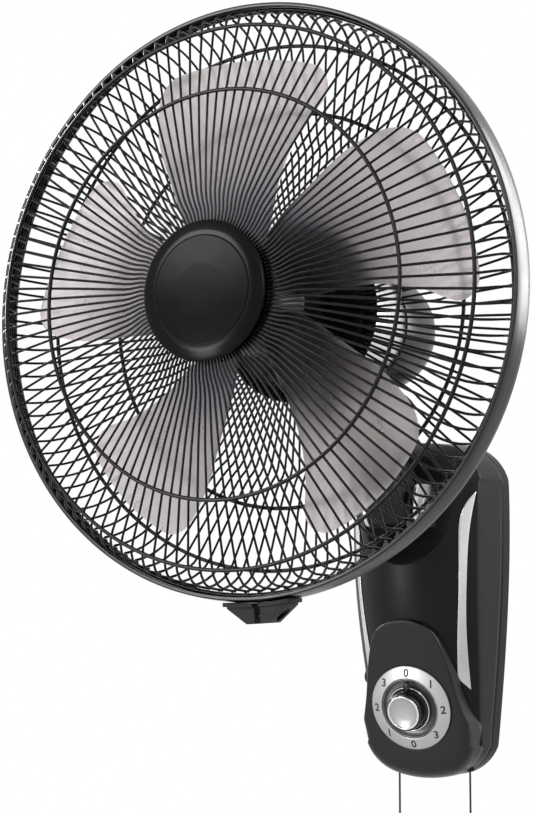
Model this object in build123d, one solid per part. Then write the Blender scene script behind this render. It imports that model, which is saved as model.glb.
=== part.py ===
from build123d import *
import math
import os

# Wall mounted fan, millimetres. Origin: centre of the wall plate's screw pattern, on the wall.
# +Z up, the fan blows towards -Y, +X is to the right when the fan is looked at.

# ---------------------------------------------------------------- driving dimensions
HEAD_REACH = 350.0        # wall to the front lip of the guard
HEAD_RISE = 233.5         # screw pattern's centre up to the blade axis

HOOP_RADIUS = 221.6       # guard hoop, outside, at its front edge
HOOP_REAR_RADIUS = 223.2
HOOP_DEPTH = 19.2
HOOP_WALL = 2.2
HOOP_LIP = 3.0            # how far the hoop's front lip reaches inwards
HOOP_REAR_LIP = 2.8
HOOP_LIP_THICK = 2.0
RIM_WIRE = 1.8            # radius of the guards' rim wires
RIM_GAP = 0.3             # clearance between a rim wire and the hoop's wall
FRONT_RIM_BACK = 8.0      # the two rim wires lie side by side in the hoop
REAR_RIM_BACK = 11.75
GUARD_WIRE = 1.0          # radius of a radial guard wire
RING_WIRE = 1.5           # radius of a guard ring wire
WIRE_COUNT = 120
WIRE_HOOK = 1.2           # degrees a front wire turns sideways between its last ring and the rim
CAP_KINK = 2.6            # degrees a front wire steps sideways beside the cap

RING_RADIUS = 149.3       # front guard, middle ring
RING_FORWARD = 29.3       # front wires in front of the lip, at the middle ring
OUTER_RING_RADIUS = 199.4
OUTER_RING_FORWARD = 17.6
CAP_RADIUS = 51.5
CAP_FORWARD = 46.6        # the cap's widest place
CAP_DISC_RADIUS = 39.6
CAP_DISC_FORWARD = 50.5
CAP_WIRE_FORWARD = 40.0   # the wires' height under the cap

REAR_RING_RADIUS = 152.5
REAR_RING_BACK = 65.6
REAR_OUTER_RADIUS = 200.0
REAR_OUTER_BACK = 45.5
REAR_STEP_RADIUS = 130.0  # the rear guard steps back here
REAR_PLATE_RADIUS = 70.0
REAR_PLATE_THICK = 2.0

BLADE_COUNT = 5
BLADE_RADIUS = 183.0
BLADE_THICK = 2.0
HUB_RADIUS = 40.0
HUB_FRONT = 12.0
HUB_BACK = 30.0
HUB_WALL = 2.5
SHAFT_RADIUS = 4.0
RUNNING_GAP = 0.05        # drawn between pieces that turn or slide on each other
PRESS_GAP = 0.02          # drawn between pieces that are pressed together

MOTOR_RADIUS = 48.0
MOTOR_FRONT = 90.0        # all three measured back from the lip
BAND_START = 113.0
BAND_END = 182.0
MOTOR_END = 256.0
MOTOR_WALL = 2.0
STATOR_BORE = 24.3
STATOR_START = 128.0
STATOR_LENGTH = 26.0
BEARING_RADIUS = 8.0
BEARING_LENGTH = 8.0

HOUSING_TOP = 147.0
HOUSING_BOTTOM = -146.0
HOUSING_WALL = 2.5
SHELL_SPLIT = 14.0        # the seam between the shells, from the wall
CREASE_RADIUS = 7.0
PLATE_THICK = 2.0
PLATE_WIDTH = 84.0
PLATE_HEIGHT = 214.0
SCREW_SPACING_X = 60.0
SCREW_SPACING_Z = 180.0
SCREW_HOLE = 2.75
SEAT_GAP = 0.3            # clearance round a piece that drops into a pocket

SCOOP_RADIUS = 75.0
SCOOP_FRONT = 132.0       # centre of the scoop's sphere, in front of the wall
SCOOP_HEIGHT = 96.0

PANEL_TILT = 13.2         # degrees
DIAL_FORWARD = 64.7       # centre of the dial, in front of the wall
DIAL_HEIGHT = -83.3
DIAL_RADIUS = 36.9
DIAL_BORE = 26.1
DIAL_RISE = 3.2           # the ring's inner edge stands this far in front of its outer one
DISH_DEPTH = 5.0
KNOB_RADIUS = 17.0
KNOB_SKIRT = 21.5
KNOB_HEIGHT = 15.3
KNOB_FACE_RADIUS = 14.6
SPINDLE_RADIUS = 3.0

CORD_SPREAD = 34.0        # each pull cord to the middle
CORD_FORWARD = 19.0
CORD_RADIUS = 0.9
CORD_TOP = -115.0
CORD_EXIT = -139.5
CORD_END = -268.0
BELL_HEIGHT = 30.0
BELL_RADIUS = 6.5
BELL_NECK = 3.2
BELL_SOCKET = 6.0

TILT_FORWARD = 92.0       # tilt bolt, in front of the wall
TILT_HEIGHT = 89.0
TILT_BOLT = 4.0
BARREL_RADIUS = 17.0
BARREL_HALF = 20.5
EAR_INSIDE = 22.0
EAR_THICK = 3.0
EAR_HEIGHT = 36.0
WASHER_THICK = 1.2

PIVOT_FORWARD = 155.0     # swing pivot, in front of the wall
PIVOT_RADIUS = 5.0
SOCKET_RADIUS = 12.5
SOCKET_BOTTOM = 134.0
SOCKET_TOP = 168.0
BRACKET_BOTTOM = 170.0
BRACKET_THICK = 3.0
SWING_MOTOR_REACH = 50.0  # swing motor's shaft, in front of the pivot
SWING_MOTOR_RADIUS = 25.0
SWING_MOTOR_HEIGHT = 19.0
CRANK_ARM = 19.3
LINK_PIN_OFFSET = 30.0
LINK_THICK = 3.0

os.makedirs("parts", exist_ok=True)
nodes = {}


def save(name, shape):
    """Keeps a finished node, as one solid or a group of solids, and writes its file."""
    solids = shape.solids() if not isinstance(shape, list) else [s for p in shape for s in p.solids()]
    nodes[name] = solids[0] if len(solids) == 1 else Compound(children=solids)
    export_step(nodes[name], f"parts/{name}.step")


# Frames: the head's has +Z forwards along the blade axis and +Y up; a standing one keeps the row's
# axes, and the dial's has +Z out of the control panel.
HEAD = Plane(origin=(0, -HEAD_REACH, HEAD_RISE), x_dir=(1, 0, 0), z_dir=(0, -1, 0))
tilt = math.radians(PANEL_TILT)
DIAL = Plane(
    origin=(0, -DIAL_FORWARD, DIAL_HEIGHT),
    x_dir=(1, 0, 0),
    z_dir=(0, -math.cos(tilt), -math.sin(tilt)),
)


def turned(profile_points, frame=Plane.XY):
    """A solid of revolution about the frame's Z, from (radius, height) points."""
    face = make_face(Plane.XZ * Polyline(*profile_points, close=True))
    return frame.location * revolve(face, Axis.Z)


def tube(outer, inner, low, high, frame=Plane.XY):
    """A tube or, with no inner radius, a rod, along the frame's Z from low to high."""
    ring = Circle(outer) - Circle(inner) if inner else Circle(outer)
    return frame.location * extrude(Plane.XY.offset(low) * ring, high - low)


def ring_wire(radius, height, wire, frame=HEAD):
    """A round wire bent into a ring."""
    return frame.location * (Pos(0, 0, height) * Torus(radius, wire))


def spot(radius, height, degrees):
    """A point from its distance to the axis, its height along it and its angle round it."""
    angle = math.radians(degrees)
    return (radius * math.cos(angle), radius * math.sin(angle), height)


# ---------------------------------------------------------------- housing form
# Each level: height, half width at the wall, half width at the crease, the crease's distance from
# the wall, the crown's distance from the wall.
HOUSING_LEVELS = [
    (-146.0, 50.0, 43.0, 31.0, 42.0),
    (-105.0, 54.5, 48.5, 37.0, 52.0),
    (-59.0, 59.0, 54.0, 43.0, 65.0),
    (-8.0, 63.0, 58.5, 50.0, 79.0),
    (44.0, 65.6, 61.0, 54.0, 83.0),
    (95.0, 66.0, 60.0, 53.0, 82.0),
    (147.0, 64.0, 57.0, 49.0, 76.0),
]
CREASE_INSET = 0.6        # how much of a wall's inset the crease takes towards the wall
TOP_SHOULDER = 42.0       # height of the rounded shoulders at the housing's top
LOW_SHOULDER = 41.0
LOW_HALF_WIDTH = 56.0


def level_section(level, inset, front_edges):
    """The housing cut level with the floor: flat at the wall, with the given front."""
    height, wall_half, crease_half, crease, crown = level
    wall_half, crease_half = wall_half - inset, crease_half - inset
    crease, crown = crease - CREASE_INSET * inset, crown - inset
    back = Polyline((-crease_half, -crease), (-wall_half, 0), (wall_half, 0), (crease_half, -crease))
    face = make_face([*back.edges(), *front_edges(crease_half, crease, crown)])
    return Pos(0, 0, height) * face


def crowned_front(half, crease, crown):
    """One arc from crease to crease over the crown."""
    return ThreePointArc((half, -crease), (0, -crown), (-half, -crease)).edges()


def tongue_front(half, crease, crown):
    """A nearly flat middle with a round shoulder down to each crease."""
    flat, drop = half - TONGUE_SHOULDER, 1.2
    shoulder = (half - 0.29 * TONGUE_SHOULDER, -crease - 0.62 * (crown - drop - crease))
    mirrored = (-shoulder[0], shoulder[1])
    return [
        ThreePointArc((half, -crease), shoulder, (flat, drop - crown)).edge(),
        ThreePointArc((flat, drop - crown), (0, -crown), (-flat, drop - crown)).edge(),
        ThreePointArc((-flat, drop - crown), mirrored, (-half, -crease)).edge(),
    ]


def front_outline(inset):
    """The housing seen from in front, as a prism reaching forwards from the wall."""
    top, bottom = HOUSING_TOP - inset, HOUSING_BOTTOM + inset
    upper = HOUSING_LEVELS[-2][1] - inset + 1
    lower = LOW_HALF_WIDTH - inset
    right = [
        ThreePointArc((26, top - 2.4), (upper - 15, top - 13), (upper, top - TOP_SHOULDER)),
        Line((upper, top - TOP_SHOULDER), (upper, 0)),
        Line((upper, 0), (lower, bottom + LOW_SHOULDER)),
        ThreePointArc((lower, bottom + LOW_SHOULDER), (lower - 12, bottom + 14), (24, bottom + 3)),
    ]
    left = [edge.mirror(Plane.YZ) for edge in right]
    ends = [
        ThreePointArc((-26, top - 2.4), (0, top), (26, top - 2.4)),
        ThreePointArc((-24, bottom + 3), (0, bottom), (24, bottom + 3)),
    ]
    edges = [edge for line in [*right, *left, *ends] for edge in line.edges()]
    return extrude(Plane.XZ * make_face(edges), 130)


SIDE_VIEW = Plane(origin=(0, 0, 0), x_dir=(0, -1, 0), z_dir=(-1, 0, 0))


def side_outline(inset, low_crown, top_crown):
    """The housing seen from the side, with its front edge rounded at the top and the bottom."""
    top, bottom = HOUSING_TOP - inset, HOUSING_BOTTOM + inset
    lines = [
        Line((0, bottom), (low_crown - 16, bottom)),
        ThreePointArc((low_crown - 16, bottom), (low_crown - 3, bottom + 5), (low_crown + 4, bottom + 18)),
        Line((low_crown + 4, bottom + 18), (130, bottom + 60)),
        Line((130, bottom + 60), (130, top - 45)),
        Line((130, top - 45), (top_crown + 4, top - 38)),
        ThreePointArc((top_crown + 4, top - 38), (top_crown - 8, top - 12), (top_crown - 34, top)),
        Line((top_crown - 34, top), (0, top)),
        Line((0, top), (0, bottom)),
    ]
    face = make_face([line.edge() for line in lines])
    return extrude(SIDE_VIEW * face, 90, both=True)


def crown_fillet(section, inset):
    corners = section.vertices().filter_by(lambda v: v.Y < -1)
    return fillet(corners, CREASE_RADIUS - 0.5 * inset)


def housing_form(inset=0.0):
    """The closed outer form of the housing, drawn in by inset."""
    sections = [
        crown_fillet(level_section(level, inset, crowned_front), inset) for level in HOUSING_LEVELS
    ]
    low_crown, top_crown = HOUSING_LEVELS[0][4] - inset, HOUSING_LEVELS[-1][4] - inset
    return loft(sections) & front_outline(inset) & side_outline(inset, low_crown, top_crown)


outer_form = housing_form()
inner_form = housing_form(HOUSING_WALL)


def rod(radius, start, end):
    """A round rod between two points."""
    start, end = Vector(*start), Vector(*end)
    frame = Plane(origin=start, z_dir=end - start)
    return frame.location * extrude(Circle(radius), (end - start).length)


def block(x_range, y_range, z_range):
    """A box from its ranges."""
    size = [high - low for low, high in (x_range, y_range, z_range)]
    middle = [(high + low) / 2 for low, high in (x_range, y_range, z_range)]
    return Pos(*middle) * Box(*size)


def mirrored(shape):
    """The shape and its mirror image across the middle."""
    return [shape, shape.mirror(Plane.YZ)]


# ---------------------------------------------------------------- wall plate and rear shell
PLATE_CORNER = 8.0
plate_width = (-PLATE_WIDTH / 2, PLATE_WIDTH / 2)
wall_plate = block(plate_width, (-PLATE_THICK, 0), (-PLATE_HEIGHT / 2, PLATE_HEIGHT / 2))
wall_plate = fillet(wall_plate.edges().filter_by(Axis.Y), PLATE_CORNER)
screw_spots = [
    (x * SCREW_SPACING_X / 2, z * SCREW_SPACING_Z / 2) for x in (-1, 1) for z in (-1, 1)
]
BRACKET_SCREW = 2.5
bracket_spots = [(x * 14.0, TILT_HEIGHT + z * 12.0) for x in (-1, 1) for z in (-1, 1)]
for x, z in screw_spots:
    wall_plate -= rod(SCREW_HOLE, (x, 1, z), (x, -PLATE_THICK - 1, z))
for x, z in bracket_spots:
    wall_plate -= rod(BRACKET_SCREW + RUNNING_GAP, (x, 1, z), (x, -PLATE_THICK - 1, z))
save("wall_plate", wall_plate)

BACK_WALL = PLATE_THICK + HOUSING_WALL     # inside face of the rear shell
BOSS_RADIUS = 4.5
SHELL_SCREW = 1.55
SHELL_SCREW_HEAD = 3.2
POST_RADIUS = 3.0
SWITCH_BACK = 10.0        # rear face of the switches, from the wall
switch_posts = [(-38, -70), (-38, -100), (8, -72), (8, -100), (40, -80), (40, -100)]
boss_spots = [(x * 51.0, 64.0) for x in (-1, 1)] + [(x * 42.0, -122.0) for x in (-1, 1)]
rear_zone = block((-90, 90), (-SHELL_SPLIT, 1), (-160, 160))
plate_pocket = block(
    (-PLATE_WIDTH / 2 - SEAT_GAP, PLATE_WIDTH / 2 + SEAT_GAP),
    (-PLATE_THICK, 1),
    (-PLATE_HEIGHT / 2 - SEAT_GAP, PLATE_HEIGHT / 2 + SEAT_GAP),
)
cavity_rear = inner_form & block((-90, 90), (-SHELL_SPLIT - 1, -BACK_WALL), (-160, 160))
housing_rear = (outer_form & rear_zone) - cavity_rear
for x, z in boss_spots:
    housing_rear += rod(BOSS_RADIUS, (x, -BACK_WALL, z), (x, -SHELL_SPLIT, z))
for x, z in switch_posts:
    housing_rear += rod(POST_RADIUS, (x, -BACK_WALL, z), (x, -SWITCH_BACK, z))
housing_rear -= plate_pocket
for x, z in boss_spots:
    housing_rear -= rod(SHELL_SCREW + 0.1, (x, 1, z), (x, -SHELL_SPLIT - 1, z))
    housing_rear -= rod(SHELL_SCREW_HEAD + 0.2, (x, 1, z), (x, -3.0, z))
for x, z in screw_spots:
    housing_rear -= rod(SCREW_HOLE + 0.75, (x, 1, z), (x, -BACK_WALL - 1, z))
for x, z in bracket_spots:
    housing_rear -= rod(BRACKET_SCREW + RUNNING_GAP, (x, 1, z), (x, -BACK_WALL - 1, z))
save("housing_rear", housing_rear)

screws = []
for x, z in boss_spots:
    shank = rod(SHELL_SCREW, (x, -1, z), (x, -26, z))
    screws.append(shank + rod(SHELL_SCREW_HEAD, (x, -0.6, z), (x, -3.0, z)))
save("housing_screws", screws)

# ---------------------------------------------------------------- front shell
scoop_centre = Pos(0, -SCOOP_FRONT, SCOOP_HEIGHT)
scoop = scoop_centre * Sphere(SCOOP_RADIUS)
scoop_skin = scoop_centre * Sphere(SCOOP_RADIUS + HOUSING_WALL)
front_zone = block((-90, 90), (-150, -SHELL_SPLIT), (-160, 160))
cavity_front = (inner_form - scoop_skin) & block((-90, 90), (-150, -SHELL_SPLIT + 1), (-160, 160))
GLAND_FORWARD = 25.0
GLAND_HEIGHT = -60.0
GLAND_RADIUS = 6.0
GLAND_BORE = 3.5
GLAND_FLANGE = 8.5
GLAND_INSIDE = 52.8       # seats of the gland's inner nut and outer flange, from the middle
GLAND_OUTSIDE = 57.2
BUSH_RADIUS = 4.0
BUSH_FLANGE = 5.5
BUSH_TOP = -134.0
ear_slot = block(
    (EAR_INSIDE - SEAT_GAP, EAR_INSIDE + EAR_THICK + SEAT_GAP),
    (-SCOOP_FRONT, -SHELL_SPLIT),
    (TILT_HEIGHT - EAR_HEIGHT / 2 - SEAT_GAP, TILT_HEIGHT + EAR_HEIGHT / 2 + SEAT_GAP),
)
housing_front = (outer_form & front_zone) - cavity_front
for x, z in boss_spots:
    housing_front += rod(BOSS_RADIUS, (x, -SHELL_SPLIT, z), (x, -80, z)) & outer_form
housing_front -= scoop
for x, z in boss_spots:
    housing_front -= rod(SHELL_SCREW + RUNNING_GAP, (x, -SHELL_SPLIT + 1, z), (x, -28, z))
for slot in mirrored(ear_slot):
    housing_front -= slot
housing_front -= DIAL.location * (Pos(0, 0, -12) * Cylinder(SPINDLE_RADIUS + 1.0, 24))
gland_axis = Plane(origin=(0, -GLAND_FORWARD, GLAND_HEIGHT), x_dir=(0, 1, 0), z_dir=(-1, 0, 0))
housing_front -= tube(GLAND_RADIUS + 0.1, 0, 45, 80, gland_axis)
housing_front -= tube(GLAND_FLANGE + SEAT_GAP, 0, 40, GLAND_INSIDE, gland_axis)
housing_front -= tube(GLAND_FLANGE + SEAT_GAP, 0, GLAND_OUTSIDE, 80, gland_axis)
for x in (-CORD_SPREAD, CORD_SPREAD):
    bush_axis = Plane(origin=(x, -CORD_FORWARD, 0))
    housing_front -= tube(BUSH_RADIUS + RUNNING_GAP, 0, -160, BUSH_TOP, bush_axis)
    housing_front -= tube(BUSH_FLANGE + SEAT_GAP, 0, BUSH_TOP, BUSH_TOP + 15, bush_axis)

# ---------------------------------------------------------------- control panel
TONGUE_SHOULDER = 13.0
TONGUE_TOP = -8.0
PANEL_PROUD = 0.8         # how far the panel stands out of the housing's sides and bottom
PANEL_BACK = 30.0         # its rear edge, from the wall


def panel_forward(height):
    """How far the panel's flat middle stands in front of the wall at a height."""
    return DIAL_FORWARD + (height - DIAL_HEIGHT) * math.tan(tilt)


panel_levels = [(*level[:4], panel_forward(level[0]) - PANEL_PROUD) for level in HOUSING_LEVELS[:5]]
panel_form = loft([level_section(level, -PANEL_PROUD, tongue_front) for level in panel_levels])
panel_form &= front_outline(-PANEL_PROUD)
panel_form &= side_outline(-PANEL_PROUD, panel_forward(HOUSING_BOTTOM), HOUSING_LEVELS[-1][4] + 40)
panel_form &= block((-90, 90), (-130, -PANEL_BACK), (-160, 60))
arch_right = Spline(
    (0, TONGUE_TOP), (26, -17), (38, -46), (42, -66), (48, -90), (62, -122),
    tangents=((1, 0), (0.5, -1)),
)
arch_lines = [
    arch_right.edge(),
    arch_right.edge().mirror(Plane.YZ),
    Polyline((62, -122), (70, -160), (-70, -160), (-62, -122)),
]
arch = extrude(Plane.XZ * make_face([e for line in arch_lines for e in line.edges()]), 130)
panel_body = panel_form & arch
control_panel = panel_body - outer_form
control_panel = max(control_panel.solids(), key=lambda s: s.volume)
RING_SEAT = 2.0
DISH_RADIUS = DIAL_BORE - 0.15
dish_space = tube(DIAL_BORE + 0.1, 0, -DISH_DEPTH - 0.5, 20, DIAL)
control_panel -= tube(DIAL_RADIUS + 0.15, 0, -RING_SEAT, 20, DIAL) + dish_space
control_panel -= tube(SPINDLE_RADIUS + 1.0, 0, -20, 20, DIAL)
housing_front -= dish_space
save("housing_front", housing_front)
save("control_panel", control_panel)

# ---------------------------------------------------------------- trims
TRIM_THICK = 1.2
trim_skin = housing_form(-TRIM_THICK) - housing_form(-RUNNING_GAP)
trim_lines = [
    Spline((58.5, 101), (51.5, 90), (47.2, 55), (46.0, 14), (42.5, -26), (39.5, -58)),
    Line((39.5, -58), (48.2, -67.5)),
    Spline((48.2, -67.5), (49.6, -16), (52.3, 30), (54.6, 70), (58.5, 101)),
]
trim_prism = extrude(Plane.XZ * make_face([line.edge() for line in trim_lines]), 130)
trim_prism &= block((0, 90), (-130, -30), (-160, 160))
trim_right = (trim_skin & trim_prism) - panel_body
trim_right = max(trim_right.solids(), key=lambda s: s.volume)
save("trim_right", trim_right)
save("trim_left", trim_right.mirror(Plane.YZ))

# ---------------------------------------------------------------- dial
dial_profile = [
    (DIAL_BORE, -RING_SEAT), (DIAL_RADIUS, -RING_SEAT), (DIAL_RADIUS, 0.3), (DIAL_RADIUS - 0.7, 0.9),
    (DIAL_BORE + 0.6, DIAL_RISE + 0.5), (DIAL_BORE, DIAL_RISE),
]
save("dial_ring", turned(dial_profile, DIAL))
dish_profile = [
    (SPINDLE_RADIUS + 0.4, -DISH_DEPTH), (DISH_RADIUS - 5, -DISH_DEPTH), (DISH_RADIUS, -1.0),
    (DISH_RADIUS, 2.6), (DISH_RADIUS - 1.2, 2.6), (DISH_RADIUS - 1.2, -0.5),
    (DISH_RADIUS - 5.6, -DISH_DEPTH + 1.2), (SPINDLE_RADIUS + 0.4, -DISH_DEPTH + 1.2),
]
save("dial_dish", turned(dish_profile, DIAL))

# ---------------------------------------------------------------- knob
KNOB_FLOOR = -DISH_DEPTH + 1.2 + SEAT_GAP
KNOB_BORE_TOP = 9.0
face_seat = KNOB_FACE_RADIUS + RUNNING_GAP
knob_profile = [
    (SPINDLE_RADIUS + PRESS_GAP, KNOB_FLOOR), (KNOB_SKIRT - 4.0, KNOB_FLOOR), (KNOB_SKIRT - 1.5, 0.5),
    (KNOB_SKIRT - 1.5, 3.6), (KNOB_RADIUS + 1.2, 4.6), (KNOB_RADIUS, 6.0),
    (KNOB_RADIUS - 0.6, KNOB_HEIGHT - 1.0), (KNOB_RADIUS - 1.6, KNOB_HEIGHT), (face_seat, KNOB_HEIGHT),
    (face_seat, KNOB_HEIGHT - 3.0), (0, KNOB_HEIGHT - 3.0), (0, KNOB_BORE_TOP),
    (SPINDLE_RADIUS + PRESS_GAP, KNOB_BORE_TOP),
]
speed_knob = turned(knob_profile, DIAL)
pointer = make_face(Polyline((-4.2, 16), (4.2, 16), (1.6, 23.8), (-1.6, 23.8), close=True))
pointer = DIAL.location * extrude(Plane.XY.offset(2.8) * pointer, 2.4)
speed_knob += pointer
save("speed_knob", speed_knob)
FACE_RIM = KNOB_FACE_RADIUS - 1.6          # inside of the face's raised rim
face_profile = [
    (0, KNOB_HEIGHT - 3.0), (KNOB_FACE_RADIUS, KNOB_HEIGHT - 3.0), (KNOB_FACE_RADIUS, KNOB_HEIGHT + 0.6),
    (KNOB_FACE_RADIUS - 0.5, KNOB_HEIGHT + 1.1), (FACE_RIM + 0.4, KNOB_HEIGHT + 1.1),
    (FACE_RIM, KNOB_HEIGHT + 0.4), (FACE_RIM - 2.5, KNOB_HEIGHT - 0.4), (7, KNOB_HEIGHT - 1.0),
    (0, KNOB_HEIGHT - 1.4),
]
save("knob_face", turned(face_profile, DIAL))
SPINDLE_END = -40.0
save("switch_spindle", tube(SPINDLE_RADIUS, 0, SPINDLE_END, KNOB_BORE_TOP - SEAT_GAP, DIAL))

# ---------------------------------------------------------------- switches and wiring parts
SWITCH_BOTTOM = -104.0
SLIDER_RADIUS = 2.5
SLIDER_TOP = -90.0
SLIDER_BOTTOM = -118.0
slider_bore = SLIDER_RADIUS + RUNNING_GAP
speed_switch = block((-42, 14), (-34, -SWITCH_BACK), (SWITCH_BOTTOM, -66))
speed_switch -= tube(SPINDLE_RADIUS + RUNNING_GAP, 0, SPINDLE_END - 1, 10, DIAL)
bore_top = SLIDER_TOP + 6
speed_axis = Plane(origin=(-CORD_SPREAD, -CORD_FORWARD, 0))
swing_axis = Plane(origin=(CORD_SPREAD, -CORD_FORWARD, 0))
speed_switch -= tube(slider_bore, 0, SLIDER_BOTTOM, bore_top, speed_axis)
save("speed_switch", fillet(speed_switch.edges().filter_by(Axis.Y).group_by(SortBy.LENGTH)[-1], 3))
swing_switch = block((24, 44), (-32, -SWITCH_BACK), (SWITCH_BOTTOM, -74))
swing_switch -= tube(slider_bore, 0, SLIDER_BOTTOM, bore_top, swing_axis)
save("swing_switch", swing_switch)
save("capacitor", block((-20, 20), (-24, -BACK_WALL - SEAT_GAP), (-58, -30)))
terminal_block = block((-44, -26), (-18, -BACK_WALL - SEAT_GAP), (-52, -12))
for z in (-45, -32, -19):
    terminal_block -= rod(2.2, (-35, -19, z), (-35, -8, z))
save("terminal_block", terminal_block)

GLAND_END = 62.5
gland_profile = [
    (GLAND_BORE, GLAND_INSIDE - 3), (GLAND_FLANGE, GLAND_INSIDE - 3), (GLAND_FLANGE, GLAND_INSIDE),
    (GLAND_RADIUS, GLAND_INSIDE), (GLAND_RADIUS, GLAND_OUTSIDE), (GLAND_FLANGE, GLAND_OUTSIDE),
    (GLAND_FLANGE - 0.5, GLAND_OUTSIDE + 2.4), (GLAND_RADIUS, GLAND_END), (GLAND_BORE, GLAND_END),
]
save("cable_gland", turned(gland_profile, gland_axis))

BUSH_BORE = 1.6
bushes = []
for x in (-CORD_SPREAD, CORD_SPREAD):
    bush_axis = Plane(origin=(x, -CORD_FORWARD, 0))
    bush_profile = [
        (BUSH_BORE, BUSH_TOP + 1.5), (BUSH_FLANGE, BUSH_TOP + 1.5), (BUSH_FLANGE, BUSH_TOP),
        (BUSH_RADIUS, BUSH_TOP), (BUSH_RADIUS, CORD_EXIT + 1.0), (BUSH_RADIUS - 1.0, CORD_EXIT),
        (BUSH_BORE, CORD_EXIT),
    ]
    bushes.append(turned(bush_profile, bush_axis))
save("cord_bushes", bushes)

# ---------------------------------------------------------------- pull cords
for side, x in (("speed", -CORD_SPREAD), ("swing", CORD_SPREAD)):
    cord_axis = Plane(origin=(x, -CORD_FORWARD, 0))
    slider = tube(SLIDER_RADIUS, 0, SLIDER_BOTTOM, SLIDER_TOP, cord_axis)
    slider -= tube(CORD_RADIUS + RUNNING_GAP, 0, SLIDER_BOTTOM - 1, CORD_TOP + SEAT_GAP, cord_axis)
    save(f"{side}_slider", slider)
    save(f"{side}_cord", tube(CORD_RADIUS, 0, CORD_END, CORD_TOP, cord_axis))
    bell_top = CORD_END + BELL_SOCKET
    bell_bottom = bell_top - BELL_HEIGHT
    bell_profile = [
        (CORD_RADIUS + RUNNING_GAP, CORD_END - 0.1), (CORD_RADIUS + RUNNING_GAP, bell_top), (2.0, bell_top),
        (BELL_NECK, bell_top - 1.5), (BELL_NECK, bell_top - 6), (4.3, bell_top - 12),
        (BELL_RADIUS, bell_bottom + 4), (BELL_RADIUS, bell_bottom + 1.5), (BELL_RADIUS - 1.5, bell_bottom),
        (0, bell_bottom), (0, CORD_END - 0.1),
    ]
    save(f"{side}_bell", turned(bell_profile, cord_axis))

# ---------------------------------------------------------------- tilt bracket and its bolt
BRACKET_BACK = BACK_WALL
ear_end = TILT_FORWARD + 12
bracket_base = block(
    (-EAR_INSIDE - EAR_THICK, EAR_INSIDE + EAR_THICK),
    (-BRACKET_BACK - EAR_THICK, -BRACKET_BACK),
    (TILT_HEIGHT - EAR_HEIGHT / 2, TILT_HEIGHT + EAR_HEIGHT / 2),
)
ear = block(
    (EAR_INSIDE, EAR_INSIDE + EAR_THICK),
    (-ear_end, -BRACKET_BACK),
    (TILT_HEIGHT - EAR_HEIGHT / 2, TILT_HEIGHT + EAR_HEIGHT / 2),
)
ear = fillet(ear.edges().filter_by(Axis.X).group_by(Axis.Y)[0], 11)
tilt_bracket = bracket_base + ear + ear.mirror(Plane.YZ)
TILT_AXIS = Plane(origin=(0, -TILT_FORWARD, TILT_HEIGHT), x_dir=(0, 1, 0), z_dir=(1, 0, 0))
tilt_bracket -= tube(TILT_BOLT + RUNNING_GAP, 0, -40, 40, TILT_AXIS)
for x, z in bracket_spots:
    tilt_bracket -= rod(BRACKET_SCREW + RUNNING_GAP, (x, 0, z), (x, -10, z))
save("tilt_bracket", tilt_bracket)

NUT_HALF = 4.2            # centre to corner of the bracket's nuts
TILT_NUT_HALF = 7.5
bolts = []
for x, z in bracket_spots:
    shank = rod(BRACKET_SCREW, (x, -0.3, z), (x, -12, z))
    seat = BRACKET_BACK + EAR_THICK
    nut_frame = Plane(origin=(x, -seat, z), x_dir=(1, 0, 0), z_dir=(0, -1, 0))
    bolts.append(shank + nut_frame.location * extrude(RegularPolygon(NUT_HALF, 6), 3))
save("bracket_bolts", bolts)

EAR_OUTSIDE = EAR_INSIDE + EAR_THICK
tilt_bolt = tube(TILT_BOLT, 0, -EAR_OUTSIDE - 6, EAR_OUTSIDE + 1, TILT_AXIS)
tilt_bolt += TILT_AXIS.location * extrude(Plane.XY.offset(EAR_OUTSIDE) * RegularPolygon(TILT_NUT_HALF, 6), 4)
save("tilt_bolt", tilt_bolt)
nut = TILT_AXIS.location * extrude(Plane.XY.offset(-EAR_OUTSIDE - 5) * RegularPolygon(TILT_NUT_HALF, 6), 5)
save("tilt_nut", nut - tube(TILT_BOLT + RUNNING_GAP, 0, -EAR_OUTSIDE - 6, -EAR_OUTSIDE + 1, TILT_AXIS))
TILT_WASHER = 11.0
washer = tube(TILT_WASHER, TILT_BOLT + RUNNING_GAP, EAR_INSIDE - WASHER_THICK, EAR_INSIDE, TILT_AXIS)
save("tilt_washers", mirrored(washer))

# ---------------------------------------------------------------- neck
ARM_HALF = 16.0
LUG_TOP = 147.0
LUG_RADIUS = 6.0
arm_side = [
    (TILT_FORWARD - 10, TILT_HEIGHT + 13.7), (PIVOT_FORWARD - 12, SOCKET_TOP - 8),
    (PIVOT_FORWARD + 2, SOCKET_TOP - 8), (PIVOT_FORWARD + 2, SOCKET_BOTTOM),
    (TILT_FORWARD + 12, TILT_HEIGHT - 12),
]
neck_arm = extrude(SIDE_VIEW * make_face(Polyline(*arm_side, close=True)), ARM_HALF, both=True)
neck_arm = fillet(neck_arm.edges().filter_by(Axis.X).group_by(Axis.Z)[-1], 3)
PIVOT = Plane(origin=(0, -PIVOT_FORWARD, 0))
neck_arm += tube(BARREL_RADIUS, 0, -BARREL_HALF, BARREL_HALF, TILT_AXIS)
neck_arm += tube(SOCKET_RADIUS, 0, SOCKET_BOTTOM, SOCKET_TOP, PIVOT)
LINK_PIN_RADIUS = 2.5
LUG_THICK = 3.4
lug_plate = block(
    (0, LINK_PIN_OFFSET),
    (-PIVOT_FORWARD - LUG_RADIUS, -PIVOT_FORWARD + LUG_RADIUS),
    (LUG_TOP - LUG_THICK, LUG_TOP),
)
LINK_PIN = Plane(origin=(LINK_PIN_OFFSET, -PIVOT_FORWARD, 0))
neck_arm += lug_plate + tube(LUG_RADIUS, 0, LUG_TOP - LUG_THICK, LUG_TOP, LINK_PIN)
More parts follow.
